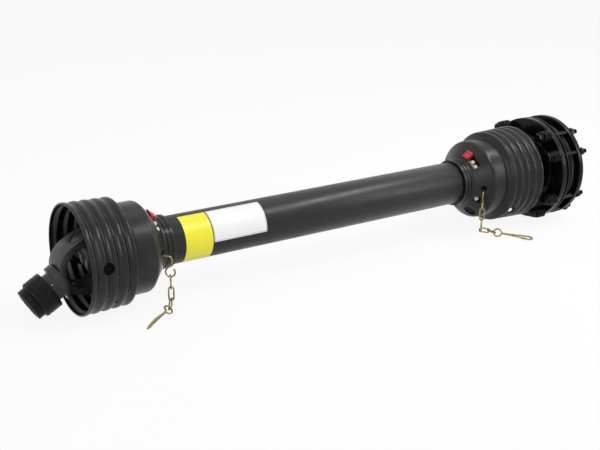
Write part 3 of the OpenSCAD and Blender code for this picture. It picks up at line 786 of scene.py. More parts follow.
@dataclass(frozen=True)
class ForgedPaint:
    """Satin paint on a forging: soft hammer-scale relief, paint runs, bare and dusty edges."""

    name: str
    colour: Colour
    worn: Colour
    gloss: float = 0.40
    relief_mm: float = 0.25
    wear: float = 0.5
    shine: float = 0.3
    relief: Layer = Layer(120.0, 4.0, 0.55)
    relief_strength: float = 0.45
    fine: Layer = Layer(1100.0, 3.0, 0.65)
    fine_mm: float = 0.03
    fine_strength: float = 0.4
    clouds: Layer = Layer(24.0, 3.0, 0.5)
    cloud_range: Range = (0.3, 0.7)
    cloud_most: float = 0.5
    darker: float = 0.62
    chips: Layer = Layer(260.0, 4.0, 0.7)
    chip_range: Range = (0.42, 0.62)
    edge_mm: float = 1.1
    edge_metal: float = 0.5
    cloud_rough: float = 0.5
    rough_range: Range = (0.5, 1.0)
    rough_spread: Range = (-0.06, 0.14)

    def make(self) -> Material:
        """Builds the material.

        Returns:
            The material.
        """
        r = Recipe(self.name)
        relief, fine, clouds = r.noise(self.relief), r.noise(self.fine), r.noise(self.clouds)
        chips = r.span(r.noise(self.chips), self.chip_range, (0.0, self.wear))
        edge = r.sum("MULTIPLY", r.edges(self.edge_mm), chips)
        tint = r.blend(r.span(clouds, self.cloud_range, (0.0, self.cloud_most)), self.colour,
                       tuple(self.darker * c for c in self.colour))
        tint = r.blend(edge, tint, self.worn)
        mottle = r.sum("ADD", relief, r.sum("MULTIPLY", clouds, self.cloud_rough))
        low = r.bump(relief, self.relief_mm, self.relief_strength)
        r.surface(Base_Color=tint,
                  Roughness=r.rough(mottle, self.rough_range, self.gloss, self.rough_spread),
                  Normal=r.bump(fine, self.fine_mm, self.fine_strength, low),
                  Metallic=r.sum("MULTIPLY", edge, self.edge_metal),
                  Specular_IOR_Level=self.shine)
        return r.material


@dataclass(frozen=True)
class GlossPaint:
    """Gloss black paint on machined plates: orange peel, lighter edges that are partly paint worn
    thin and partly a painted edge highlight, and light handling marks.
    """

    name: str
    colour: Colour
    gloss: float = 0.20
    shine: float = 0.16
    worn_and_sheen_edge_colour: Colour = (0.07, 0.07, 0.07)
    peel: Layer = Layer(420.0, 2.0, 0.5)
    peel_mm: float = 0.05
    peel_strength: float = 0.5
    clouds: Layer = Layer(22.0, 3.0, 0.6)
    marks: Layer = Layer(1.0, 4.0, 0.7, (500.0, 240.0, 900.0))
    mark_share: float = 0.5
    chips: Layer = Layer(330.0, 3.0, 0.6)
    chip_range: Range = (0.46, 0.66)
    edge_wear_and_sheen_most: float = 0.35
    edge_mm: float = 0.8
    rough_range: Range = (0.5, 1.0)
    rough_spread: Range = (-0.04, 0.16)

    def make(self) -> Material:
        """Builds the material.

        Returns:
            The material.
        """
        r = Recipe(self.name)
        peel, clouds, marks = r.noise(self.peel), r.noise(self.clouds), r.noise(self.marks)
        chips = r.span(r.noise(self.chips), self.chip_range, (0.0, self.edge_wear_and_sheen_most))
        # Lighter colour on chipped edges: partly paint worn thin, partly a painted highlight along
        # the edges.
        edge = r.sum("MULTIPLY", r.edges(self.edge_mm), chips)
        mottle = r.sum("ADD", clouds, r.sum("MULTIPLY", marks, self.mark_share))
        r.surface(Base_Color=r.blend(edge, self.colour, self.worn_and_sheen_edge_colour),
                  Roughness=r.rough(mottle, self.rough_range, self.gloss, self.rough_spread),
                  Normal=r.bump(peel, self.peel_mm, self.peel_strength),
                  Specular_IOR_Level=self.shine)
        return r.material


@dataclass(frozen=True)
class ZincWire:
    """Yellow-passivated zinc on drawn wire: straw and olive clouds, dull spots, die lines."""

    name: str
    colour: Colour
    olive: Colour
    gloss: float = 0.26
    metal: float = 0.9
    spot_colour: Colour = (0.16, 0.12, 0.05)
    clouds: Layer = Layer(180.0, 3.0, 0.6)
    cloud_range: Range = (0.38, 0.66)
    spots: Layer = Layer(700.0, 3.0, 0.7)
    spot_range: Range = (0.60, 0.74)
    spot_most: float = 0.6
    spot_mm: float = 0.05
    spot_strength: float = 0.5
    rough_range: Range = (0.3, 0.75)
    rough_spread: Range = (0.0, 0.22)

    def make(self) -> Material:
        """Builds the material.

        Returns:
            The material.
        """
        r = Recipe(self.name)
        clouds, spots = r.noise(self.clouds), r.noise(self.spots)
        tint = r.blend(r.span(clouds, self.cloud_range, WHOLE), self.colour, self.olive)
        tint = r.blend(r.span(spots, self.spot_range, (0.0, self.spot_most)), tint,
                       self.spot_colour)
        r.surface(Base_Color=tint, Metallic=self.metal,
                  Roughness=r.rough(spots, self.rough_range, self.gloss, self.rough_spread),
                  Normal=r.bump(spots, self.spot_mm, self.spot_strength))
        return r.material


@dataclass(frozen=True)
class TurnedSteel:
    """Turned or ground steel: rings of fine tool marks, oil film and a few rust-brown specks."""

    name: str
    colour: Colour
    gloss: float = 0.28
    oil: float = 0.35
    metal: float = 0.95
    oil_colour: Colour = (0.13, 0.10, 0.07)
    rust_colour: Colour = (0.10, 0.06, 0.03)
    rings: Layer = Layer(1.0, 2.0, 0.5, (4200.0, 40.0, 40.0))
    ring_mm: float = 0.02
    ring_strength: float = 0.6
    film: Layer = Layer(90.0, 4.0, 0.6)
    film_range: Range = (0.4, 0.7)
    specks: Layer = Layer(1500.0, 2.0, 0.6)
    speck_range: Range = (0.66, 0.76)
    speck_most: float = 0.6
    rough_range: Range = (0.3, 0.75)
    rough_spread: Range = (-0.05, 0.2)

    def make(self) -> Material:
        """Builds the material.

        Returns:
            The material.
        """
        r = Recipe(self.name)
        rings, film, specks = r.noise(self.rings), r.noise(self.film), r.noise(self.specks)
        tint = r.blend(r.span(film, self.film_range, (0.0, self.oil)), self.colour,
                       self.oil_colour)
        tint = r.blend(r.span(specks, self.speck_range, (0.0, self.speck_most)), tint,
                       self.rust_colour)
        r.surface(Base_Color=tint, Metallic=self.metal,
                  Roughness=r.rough(film, self.rough_range, self.gloss, self.rough_spread),
                  Normal=r.bump(rings, self.ring_mm, self.ring_strength))
        return r.material


@dataclass(frozen=True)
class Film:
    """A stuck-on film: satin colour with a thin border, a rule, grime and slight ripples."""

    name: str
    colour: Colour
    line: Colour
    low_x: float
    high_x: float
    low_deg: float
    high_deg: float
    rule_deg: float | None
    border: float = 0.5
    gloss: float = 0.30
    tube_r: float = 35.0
    rule_half: float = 0.55
    line_share: float = 0.9
    grime_colour: Colour = (0.22, 0.20, 0.16)
    grime: Layer = Layer(70.0, 5.0, 0.7)
    grime_range: Range = (0.60, 0.80)
    grime_most: float = 0.25
    fade: Layer = Layer(18.0, 2.0, 0.5)
    fade_range: Range = (0.35, 0.7)
    fade_most: float = 0.35
    faded: float = 0.86
    ripple: Layer = Layer(1.0, 2.0, 0.5, (60.0, 260.0, 260.0))
    ripple_mm: float = 0.06
    ripple_strength: float = 0.3
    rough_range: Range = (0.3, 0.8)
    rough_spread: Range = (0.0, 0.2)

    def band(self, r: Recipe, value: Any, middle: float, half: float) -> Any:
        """Marks a band of a value.

        Args:
            r: The recipe being built.
            value: The value's socket.
            middle: Middle of the band.
            half: Half the band's width.

        Returns:
            A socket that is 1 in the band and 0 elsewhere.
        """
        away = r.sum("ABSOLUTE", r.sum("SUBTRACT", value, middle))
        return r.sum("LESS_THAN", away, half)

    def lines(self, r: Recipe) -> Any:
        """Marks the border and the rule.

        Args:
            r: The recipe being built.

        Returns:
            A socket that is 1 on the lines and 0 elsewhere.
        """
        xyz = r.node("ShaderNodeSeparateXYZ", {0: r.place})
        x = r.sum("MULTIPLY", xyz.outputs[0], 1 / MM)
        turn = r.sum("ARCTAN2", xyz.outputs[2], xyz.outputs[1])
        turn = r.sum("MULTIPLY", turn, math.degrees(1.0))
        deg = r.sum("MODULO", r.sum("ADD", turn, 360.0), 360.0)
        half = math.degrees(self.border / self.tube_r)
        bands = [(x, self.low_x, self.border), (x, self.high_x, self.border),
                 (deg, self.low_deg, half), (deg, self.high_deg, half)]
        if self.rule_deg is not None:
            bands.append((deg, self.rule_deg, self.rule_half))
        mask = self.band(r, *bands[0])
        for band in bands[1:]:
            mask = r.sum("MAXIMUM", mask, self.band(r, *band))
        return mask

    def make(self) -> Material:
        """Builds the material.

        Returns:
            The material.
        """
        r = Recipe(self.name)
        grime, fade = r.noise(self.grime), r.noise(self.fade)
        tint = r.blend(r.span(fade, self.fade_range, (0.0, self.fade_most)), self.colour,
                       tuple(self.faded * c for c in self.colour))
        tint = r.blend(r.span(grime, self.grime_range, (0.0, self.grime_most)), tint,
                       self.grime_colour)
        tint = r.blend(r.sum("MULTIPLY", self.lines(r), self.line_share), tint, self.line)
        r.surface(Base_Color=tint,
                  Roughness=r.rough(grime, self.rough_range, self.gloss, self.rough_spread),
                  Normal=r.bump(r.noise(self.ripple), self.ripple_mm, self.ripple_strength))
        return r.material


@dataclass(frozen=True)
class Fibrous:
    """Friction lining or rubber: short fibres or filler specks in a dull binder."""

    name: str
    colour: Colour
    fibre: Colour
    scale: float = 700.0
    dull: float = 0.8
    stretch: Point = (0.4, 1.0, 1.6)
    fibre_range: Range = (0.5, 0.68)
    fibre_most: float = 0.8
    fibre_mm: float = 0.08
    fibre_strength: float = 0.6
    clouds: Layer = Layer(40.0, 3.0, 0.5)
    rough_range: Range = (0.3, 0.7)
    rough_spread: Range = (-0.1, 0.0)

    def make(self) -> Material:
        """Builds the material.

        Returns:
            The material.
        """
        r = Recipe(self.name)
        fibres = r.noise(Layer(1.0, 4.0, 0.7, tuple(self.scale * s for s in self.stretch)))
        tint = r.blend(r.span(fibres, self.fibre_range, (0.0, self.fibre_most)), self.colour,
                       self.fibre)
        r.surface(Base_Color=tint,
                  Roughness=r.rough(r.noise(self.clouds), self.rough_range, self.dull,
                                    self.rough_spread),
                  Normal=r.bump(fibres, self.fibre_mm, self.fibre_strength))
        return r.material


@dataclass
class Finishes:
    """Every finish of the shaft, made once."""

    yellow_u: Range = (157.7, 201.6)
    white_u: Range = (203.0, 291.0)
    white_margin: float = 1.2
    made: dict[Slot, Material] = field(default_factory=dict)

    def build(self) -> "Finishes":
        """Builds all the finishes.

        Returns:
            Itself, filled.
        """
        yellow_x = [End.TRACTOR.at(u) for u in self.yellow_u]
        white_x = [End.TRACTOR.at(u) for u in self.white_u]
        recipes = {
            Slot.GUARD: MouldedPlastic("moulded guard plastic", (0.0065, 0.0065, 0.0068),
                                       (0.0105, 0.0103, 0.0098), gloss=0.31),
            Slot.TUBE: DrawnPlastic("drawn guard tube", (0.009, 0.009, 0.0095),
                                    (0.013, 0.013, 0.0136), gloss=0.36),
            Slot.NYLON: MouldedPlastic("natural nylon", (0.74, 0.70, 0.58), (0.66, 0.60, 0.46),
                                       gloss=0.38, grain=1800.0, grain_mm=0.03, dust=0.05,
                                       shine=0.5),
            Slot.RED: MouldedPlastic("red lock plastic", (0.62, 0.022, 0.032),
                                     (0.50, 0.016, 0.026), gloss=0.32, grain=2200.0,
                                     grain_mm=0.03, dust=0.03, shine=0.5),
            Slot.YOKE: ForgedPaint("forged yoke paint", (0.022, 0.0223, 0.023),
                                   (0.13, 0.125, 0.12), gloss=0.34, shine=0.4),
            Slot.COLLAR: ForgedPaint("black collar coating", (0.005, 0.005, 0.0053),
                                     (0.07, 0.07, 0.07), gloss=0.36, relief_mm=0.06,
                                     wear=0.4, shine=0.14),
            Slot.CLUTCH: GlossPaint("clutch gloss paint", (0.0025, 0.0025, 0.0027)),
            Slot.ZINC: ZincWire("yellow zinc wire", (0.38, 0.295, 0.125), (0.16, 0.13, 0.05)),
            Slot.STEEL: TurnedSteel("turned steel", (0.52, 0.52, 0.53)),
            Slot.OILED: TurnedSteel("oiled steel", (0.070, 0.068, 0.066), gloss=0.42, oil=0.5),
            Slot.BRONZE: TurnedSteel("sintered bronze", (0.48, 0.30, 0.12), gloss=0.35, oil=0.5),
            Slot.YELLOW: Film("yellow film", (0.92, 0.84, 0.03), (0.05, 0.05, 0.04),
                              low_x=yellow_x[0], high_x=yellow_x[1], low_deg=102.0,
                              high_deg=235.0, rule_deg=222.0),
            Slot.WHITE: Film("white film", (0.92, 0.92, 0.91), (0.34, 0.34, 0.34),
                             low_x=white_x[0] + self.white_margin,
                             high_x=white_x[1] - self.white_margin, low_deg=104.5,
                             high_deg=183.5, rule_deg=None, border=0.35),
            Slot.LINING: Fibrous("friction lining", (0.060, 0.050, 0.040),
                                 (0.20, 0.15, 0.08)),
            Slot.RUBBER: Fibrous("seal rubber", (0.015, 0.015, 0.015), (0.03, 0.03, 0.03),
                                 scale=1500.0, dull=0.6),
        }
        self.made = {slot: recipe.make() for slot, recipe in recipes.items()}
        return self

    def __getitem__(self, slot: Slot) -> Material:
        """The material of a slot."""
        return self.made[slot]


# Pieces


@dataclass
class Workshop:
    """Dresses pieces and hangs them on their bodies."""

    finishes: Finishes
    wire: Routine
    fasteners: Routine
    springs: Routine
    ribs: Routine

    def body_of(self, node: str) -> str:
        """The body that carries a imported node."""
        bodies = frame["record"]["behaviour"]["bodies"]
        return next(body for body, nodes in bodies.items() if node in nodes)

    def hand_over(self, obj: Object, slot: Slot, *nodes: str) -> Object:
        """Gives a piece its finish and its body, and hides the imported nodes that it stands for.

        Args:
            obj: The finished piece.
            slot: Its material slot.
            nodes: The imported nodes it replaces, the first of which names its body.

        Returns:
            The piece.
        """
        obj.data.materials.clear()
        obj.data.materials.append(self.finishes[slot])
        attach(obj, self.body_of(nodes[0]))
        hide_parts(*nodes)
        LOG.info("%s: %d faces on %s", obj.name, len(obj.data.polygons), self.body_of(nodes[0]))
        return obj

    def dress(self, slot: Slot, node: str, edge: float = 0.4, angle: float = 33.0,
              segments: int = 2) -> Object:
        """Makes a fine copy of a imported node, merged, smoothed and with its edges eased.

        Args:
            slot: Its material slot.
            node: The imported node.
            edge: Width of the eased edges in millimetres, or 0.
            angle: Edges sharper than this are eased.
            segments: Faces across an eased edge.

        Returns:
            The dressed piece.
        """
        mesh = frame["nodes"][node].data.copy()
        if "custom_normal" in mesh.attributes:
            mesh.attributes.remove(mesh.attributes["custom_normal"])
        obj = bpy.data.objects.new(node + "_dressed", mesh)
        bpy.context.scene.collection.objects.link(obj)
        bm = bmesh.new()
        bm.from_mesh(mesh)
        bmesh.ops.remove_doubles(bm, verts=bm.verts, dist=COPY_WELD)
        bmesh.ops.dissolve_degenerate(bm, edges=bm.edges, dist=COPY_SLIVER)
        bmesh.ops.dissolve_limit(bm, angle_limit=math.radians(FLAT_DEG), verts=bm.verts,
                                 edges=bm.edges, delimit={"NORMAL"})
        bm.to_mesh(mesh)
        bm.free()
        if edge > 0:
            bevel = obj.modifiers.new("eased edges", "BEVEL")
            bevel.width = edge * MM
            bevel.segments = segments
            bevel.limit_method = "ANGLE"
            bevel.angle_limit = math.radians(angle)
            bevel.use_clamp_overlap = True
            bevel.harden_normals = False
            settle(obj)
        return self.hand_over(smooth(obj, angle), slot, node)


@dataclass
class Guard:
    """One bell of the guard with its ribbed skirt, bearing ring and lock tab."""

    end: End
    chain_deg: float
    bore_r: float
    skirt_holes: tuple[tuple[float, float, float], ...]
    rim_r: float = 78.6
    wall: float = 2.6
    taper: float = 0.036
    first_crest: float = 3.0
    pitch: float = 15.1
    depth: float = 3.4
    valley_power: float = 1.6
    ribbed_to: float = 64.4
    seat_u: float = 67.6
    seat_l: float = 4.0
    grip_gap: float = 0.05
    lip: float = 0.55
    shoulder_r: float = 65.5
    bead_h: float = 1.6
    cone_u: float = 103.4
    neck_r: float = 38.6
    neck_u: float = 123.0
    neck_grooves: tuple[float, ...] = (127.0, 133.5)
    tube_seat: float = 120.0
    bell_end: float = 141.0
    window_u: tuple[float, float] = (111.6, 120.4)
    window_r: tuple[float, float] = (35.5, 57.5)
    windows: tuple[tuple[float, float], ...] = ((97, 139.5), (202.5, 215.5), (277, 319.5),
                                                (22.5, 35.5))
    chain_hole: tuple[float, float, float] = (112.6, 51.6, 5.0)
    access_hole: tuple[float, float, float] = (111.5, 53.5, 10.5)
    access_deg: float = 249.0
    hole_lean: float = 49.0
    skirt_drill_l: float = 20.0
    bell_drill_l: float = 16.0
    rib_margin: float = 0.02
    rib_steps: int = 84
    turned_steps: int = 192
    window_steps: int = 12
    drill_steps: int = 40

    def rib_r(self, u: float) -> float:
        """Outer radius of the skirt at u, valleys included."""
        dip = (1 - math.cos(math.tau * (u - self.first_crest) / self.pitch)) / 2
        return self.rim_r - self.taper * u - self.depth * dip ** self.valley_power

    def skirt(self, shop: Workshop) -> Object:
        """Makes the skirt: a plain turned wall that the rib routine presses, then drilled.

        Args:
            shop: The workshop.

        Returns:
            The skirt.
        """
        last, seat = self.ribbed_to, self.seat_u
        us = [last * i / self.rib_steps for i in range(self.rib_steps + 1)]
        inner_r, end_r = self.rim_r - self.wall, self.rib_r(last)
        grip = self.shoulder_r + self.grip_gap
        rim = [(self.lip, inner_r), (0.12, inner_r + 0.5), (0.0, self.rim_r - 1.3),
               (0.12, self.rim_r - 0.5)]
        outside = [(max(u, self.lip), self.rim_r - self.taper * u) for u in us]
        tail = [(last + 1.4, end_r - 1.0), (last + 2.4, end_r - 2.6), (last + 3.6, end_r - 4.6),
                (last + 4.4, end_r - 6.4), (last + 6.2, grip + 1.5),
                (seat + self.seat_l - 0.2, grip + 0.8), (seat + self.seat_l, grip),
                (seat, grip), (seat, grip + self.bead_h + 0.2), (last + 1.2, end_r - 5),
                (last - 1, end_r - self.wall - 0.3)]
        inside = [(u, inner_r - self.taper * u) for u in us if u < last - 1.5]
        section = rim + outside[1:] + tail + inside[:0:-1]
        obj = lathe(f"guard_skirt_{self.end.word}_ribbed",
                    [(self.end.at(u), r) for u, r in section], self.turned_steps)
        shop.ribs.run(obj, Rim=self.end.at(0) * MM, Way_in=float(self.end.inward),
                      First_crest=self.first_crest * MM, Pitch=self.pitch * MM,
                      Depth=self.depth * MM, Valley_power=self.valley_power,
                      Ribbed_to=(last + self.rib_margin) * MM,
                      Finish=shop.finishes[Slot.GUARD])
        drills = [self.drill((u, self.rim_r, r), deg, 0.0, self.skirt_drill_l)
                  for deg, u, r in self.skirt_holes]
        cut(obj, joined("skirt_drills", drills))
        smooth(tidy(obj), angle=38)
        return shop.hand_over(obj, Slot.GUARD, f"guard_skirt_{self.end.word}")

    def drill(self, hole: tuple[float, float, float], deg: float, lean: float,
              length: float) -> Object:
        """Makes a round cutter.

        Args:
            hole: Place in from the rim, distance of its middle from the axis, and radius.
            deg: Angle round the shaft.
            lean: Angle of its axis from radial towards the tubes, in degrees.
            length: Length of the cutter.

        Returns:
            The cutter.
        """
        u, at_r, radius = hole
        tool = lathe("drill", [(-length / 2, 0), (-length / 2, radius), (length / 2, radius),
                               (length / 2, 0)], self.drill_steps)
        lean_m = math.radians(lean)
        way = Vector((self.end.inward * math.sin(lean_m), math.cos(lean_m), 0))
        turn = Matrix.Rotation(math.radians(deg), 4, "X")
        face = way.to_track_quat("X", "Z").to_matrix().to_4x4()
        place = Matrix.Translation(Vector((self.end.at(u) * MM, at_r * MM, 0)))
        tool.data.transform(turn @ place @ face)
        return tool

    def bell(self, shop: Workshop) -> Object:
        """Makes the bell: bead, shoulder, cone and ringed neck, with its windows and holes.

        Args:
            shop: The workshop.

        Returns:
            The bell.
        """
        back, front = self.shoulder_r - self.wall, self.ribbed_to + 1.0
        stop, bead_r = self.seat_u - self.grip_gap, self.shoulder_r + self.bead_h
        s, n, cone, neck, end = (self.shoulder_r, self.neck_r, self.cone_u, self.neck_u,
                                 self.bell_end)
        outside = [(front, bead_r), (stop, bead_r), (stop, s),
                   (cone - 7.4, s), (cone - 5.4, s - 0.05), (cone - 3.8, s - 0.4),
                   (cone - 2.4, s - 1.0), (cone - 1.1, s - 1.95), (cone, s - 3.2),
                   (neck - 1.6, n + 3), (neck - 0.7, n + 1.8), (neck + 0.2, n + 0.9),
                   (neck + 1.1, n + 0.3), (neck + 2, n)]
        for g in self.neck_grooves:
            outside += [(g, n), (g + 0.3, n - 0.2), (g + 0.5, n - 1), (g + 2, n - 1),
                        (g + 2.2, n - 0.2), (g + 2.5, n)]
        outside += [(end - 0.5, n), (end - 0.1, n - 0.25), (end, n - 0.7)]
        inside = [(end, self.bore_r), (self.tube_seat, self.bore_r),
                  (self.tube_seat - 0.5, n + 1.2), (cone - 1.8, s - 4.9), (cone - 3.6, s - 3.2),
                  (cone - 6, back), (front, back)]
        obj = lathe(f"guard_bell_{self.end.word}_turned",
                    [(self.end.at(u), r) for u, r in outside + inside], self.turned_steps)
        (u0, u1), (r0, r1) = self.window_u, self.window_r
        opening = [(self.end.at(u), r) for u, r in ((u0, r0), (u0, r1), (u1, r1), (u1, r0))]
        cutters = [lathe("window", opening, self.window_steps, a, b - a)
                   for a, b in self.windows]
        for hole, deg in ((self.chain_hole, self.chain_deg),
                          (self.chain_hole, self.chain_deg + 180),
                          (self.access_hole, self.access_deg)):
            cutters.append(self.drill(hole, deg, self.hole_lean, self.bell_drill_l))
        cut(obj, joined("bell_cutters", cutters))
        smooth(tidy(obj), angle=30)
        return shop.hand_over(obj, Slot.GUARD, f"guard_bell_{self.end.word}")

    def build(self, shop: Workshop) -> None:
        """Makes the bell, its skirt, its bearing ring and its lock tab.

        Args:
            shop: The workshop.
        """
        self.skirt(shop)
        self.bell(shop)
        shop.dress(Slot.NYLON, f"guard_bearing_{self.end.word}", edge=0.25)
        shop.dress(Slot.RED, f"lock_tab_{self.end.word}", edge=0.45, segments=3)


@dataclass
class GuardTubes:
    """The two guard tubes and the colour fields on the outer one."""

    edge: float = 0.35

    def build(self, shop: Workshop) -> None:
        """Dresses the tubes and the fields.

        Args:
            shop: The workshop.
        """
        for node in ("guard_tube_outer", "guard_tube_inner"):
            shop.dress(Slot.TUBE, node, self.edge)
        shop.dress(Slot.YELLOW, "yellow_field", edge=0)
        shop.dress(Slot.WHITE, "white_field", edge=0)


@dataclass
class TractorEnd:
    """The quick-release yoke with its collar, end ring, balls and return spring."""

    forged_edge: float = 1.6
    neck_r: float = 20.0
    collar_gap: float = 0.05
    collar_r: float = 27.0
    collar_l: float = 70.2
    collar_t: float = 26.2
    collar_wall: float = 4.9
    pocket_r: float = 24.0
    ring_r: float = 23.2
    ring_t: float = 9.5
    ring_gap: float = 0.2
    groove_w: float = 1.0
    groove_depth: float = 0.8

    def to_frame(self, obj: Object) -> Object:
        """Moves a mesh made along the yoke's own bore into the shaft's frame.

        Args:
            obj: The piece.

        Returns:
            The same piece.
        """
        turn = Matrix.Rotation(math.radians(180 - DROOP), 4, "Y")
        place = Matrix.Translation((End.TRACTOR.joint_x * MM, 0, 0))
        obj.data.transform(place @ turn)
        return obj

    def collar(self, shop: Workshop) -> Object:
        """Makes the release collar with its rounded shoulder, grip groove and lip.

        Args:
            shop: The workshop.

        Returns:
            The collar.
        """
        a, b, r = self.collar_l, self.collar_l + self.collar_t, self.collar_r
        bore, wall_x = self.neck_r + self.collar_gap, b - self.collar_wall
        section = [(a, self.pocket_r), (a, r - 1.6), (a + 0.5, r - 0.6), (a + 1.6, r),
                   (b - 8.2, r), (b - 7.6, r - 0.5), (b - 6.4, r - 0.5), (b - 5.8, r),
                   (b - 3.4, r), (b - 1.5, r - 0.5), (b - 0.4, r - 1.7), (b, r - 3.2),
                   (b, bore), (wall_x, bore), (wall_x, self.pocket_r)]
        obj = self.to_frame(lathe("release_collar_turned", section))
        return shop.hand_over(smooth(tidy(obj), angle=30), Slot.COLLAR, "release_collar")

    def end_ring(self, shop: Workshop) -> Object:
        """Makes the stepped end ring with its two fine grooves.

        Args:
            shop: The workshop.

        Returns:
            The ring.
        """
        a, r = self.collar_l + self.collar_t + self.ring_gap, self.ring_r
        b, low = a + self.ring_t, r - self.groove_depth
        section = [(a, self.neck_r), (a, r - 0.4), (a + 0.4, r)]
        for g in (a + 2.6, a + 5.6):
            section += [(g, r), (g + 0.15, low), (g + self.groove_w - 0.15, low),
                        (g + self.groove_w, r)]
        section += [(b - 0.9, r), (b - 0.25, r - 0.3), (b, r - 1.0), (b, self.neck_r)]
        obj = self.to_frame(lathe("collar_end_ring_turned", section))
        return shop.hand_over(smooth(tidy(obj), angle=30), Slot.COLLAR, "collar_end_ring")

    def build(self, shop: Workshop) -> None:
        """Dresses the yoke and makes what slides on it.

        Args:
            shop: The workshop.
        """
        shop.dress(Slot.YOKE, "quick_release_yoke", self.forged_edge, angle=40, segments=3)
        self.collar(shop)
        self.end_ring(shop)
        shop.dress(Slot.STEEL, "lock_balls", edge=0, angle=60)
        shop.dress(Slot.STEEL, "release_spring", edge=0, angle=70)


@dataclass
class UniversalJoint:
    """The cross of one joint with its caps, seals, spring rings and grease nipple."""

    end: End
    outer: str
    edge: float = 0.5

    def build(self, shop: Workshop) -> None:
        """Dresses the pieces of the joint.

        Args:
            shop: The workshop.
        """
        word = self.end.word
        shop.dress(Slot.OILED, f"{word}_cross", self.edge)
        shop.dress(Slot.RUBBER, f"{word}_cross_seals", edge=0.3)
        shop.dress(Slot.STEEL, f"{word}_grease_nipple", edge=0.15)
        for side in ("tube", self.outer):
            shop.dress(Slot.OILED, f"{word}_{side}_caps", self.edge)
            shop.dress(Slot.OILED, f"{word}_{side}_circlips", edge=0.15)


@dataclass
class DriveTubes:
    """The tube yokes, the two lobed drive tubes and their spring pins."""

    forged_edge: float = 1.4

    def build(self, shop: Workshop) -> None:
        """Dresses the pieces of the drive.

        Args:
            shop: The workshop.
        """
        for word, tube in (("front", "outer"), ("rear", "inner")):
            shop.dress(Slot.YOKE, f"{word}_tube_yoke", self.forged_edge, angle=40, segments=3)
            shop.dress(Slot.STEEL, f"{tube}_drive_tube", edge=0.3, angle=40)
            shop.dress(Slot.STEEL, f"{word}_tube_pin", edge=0.3)


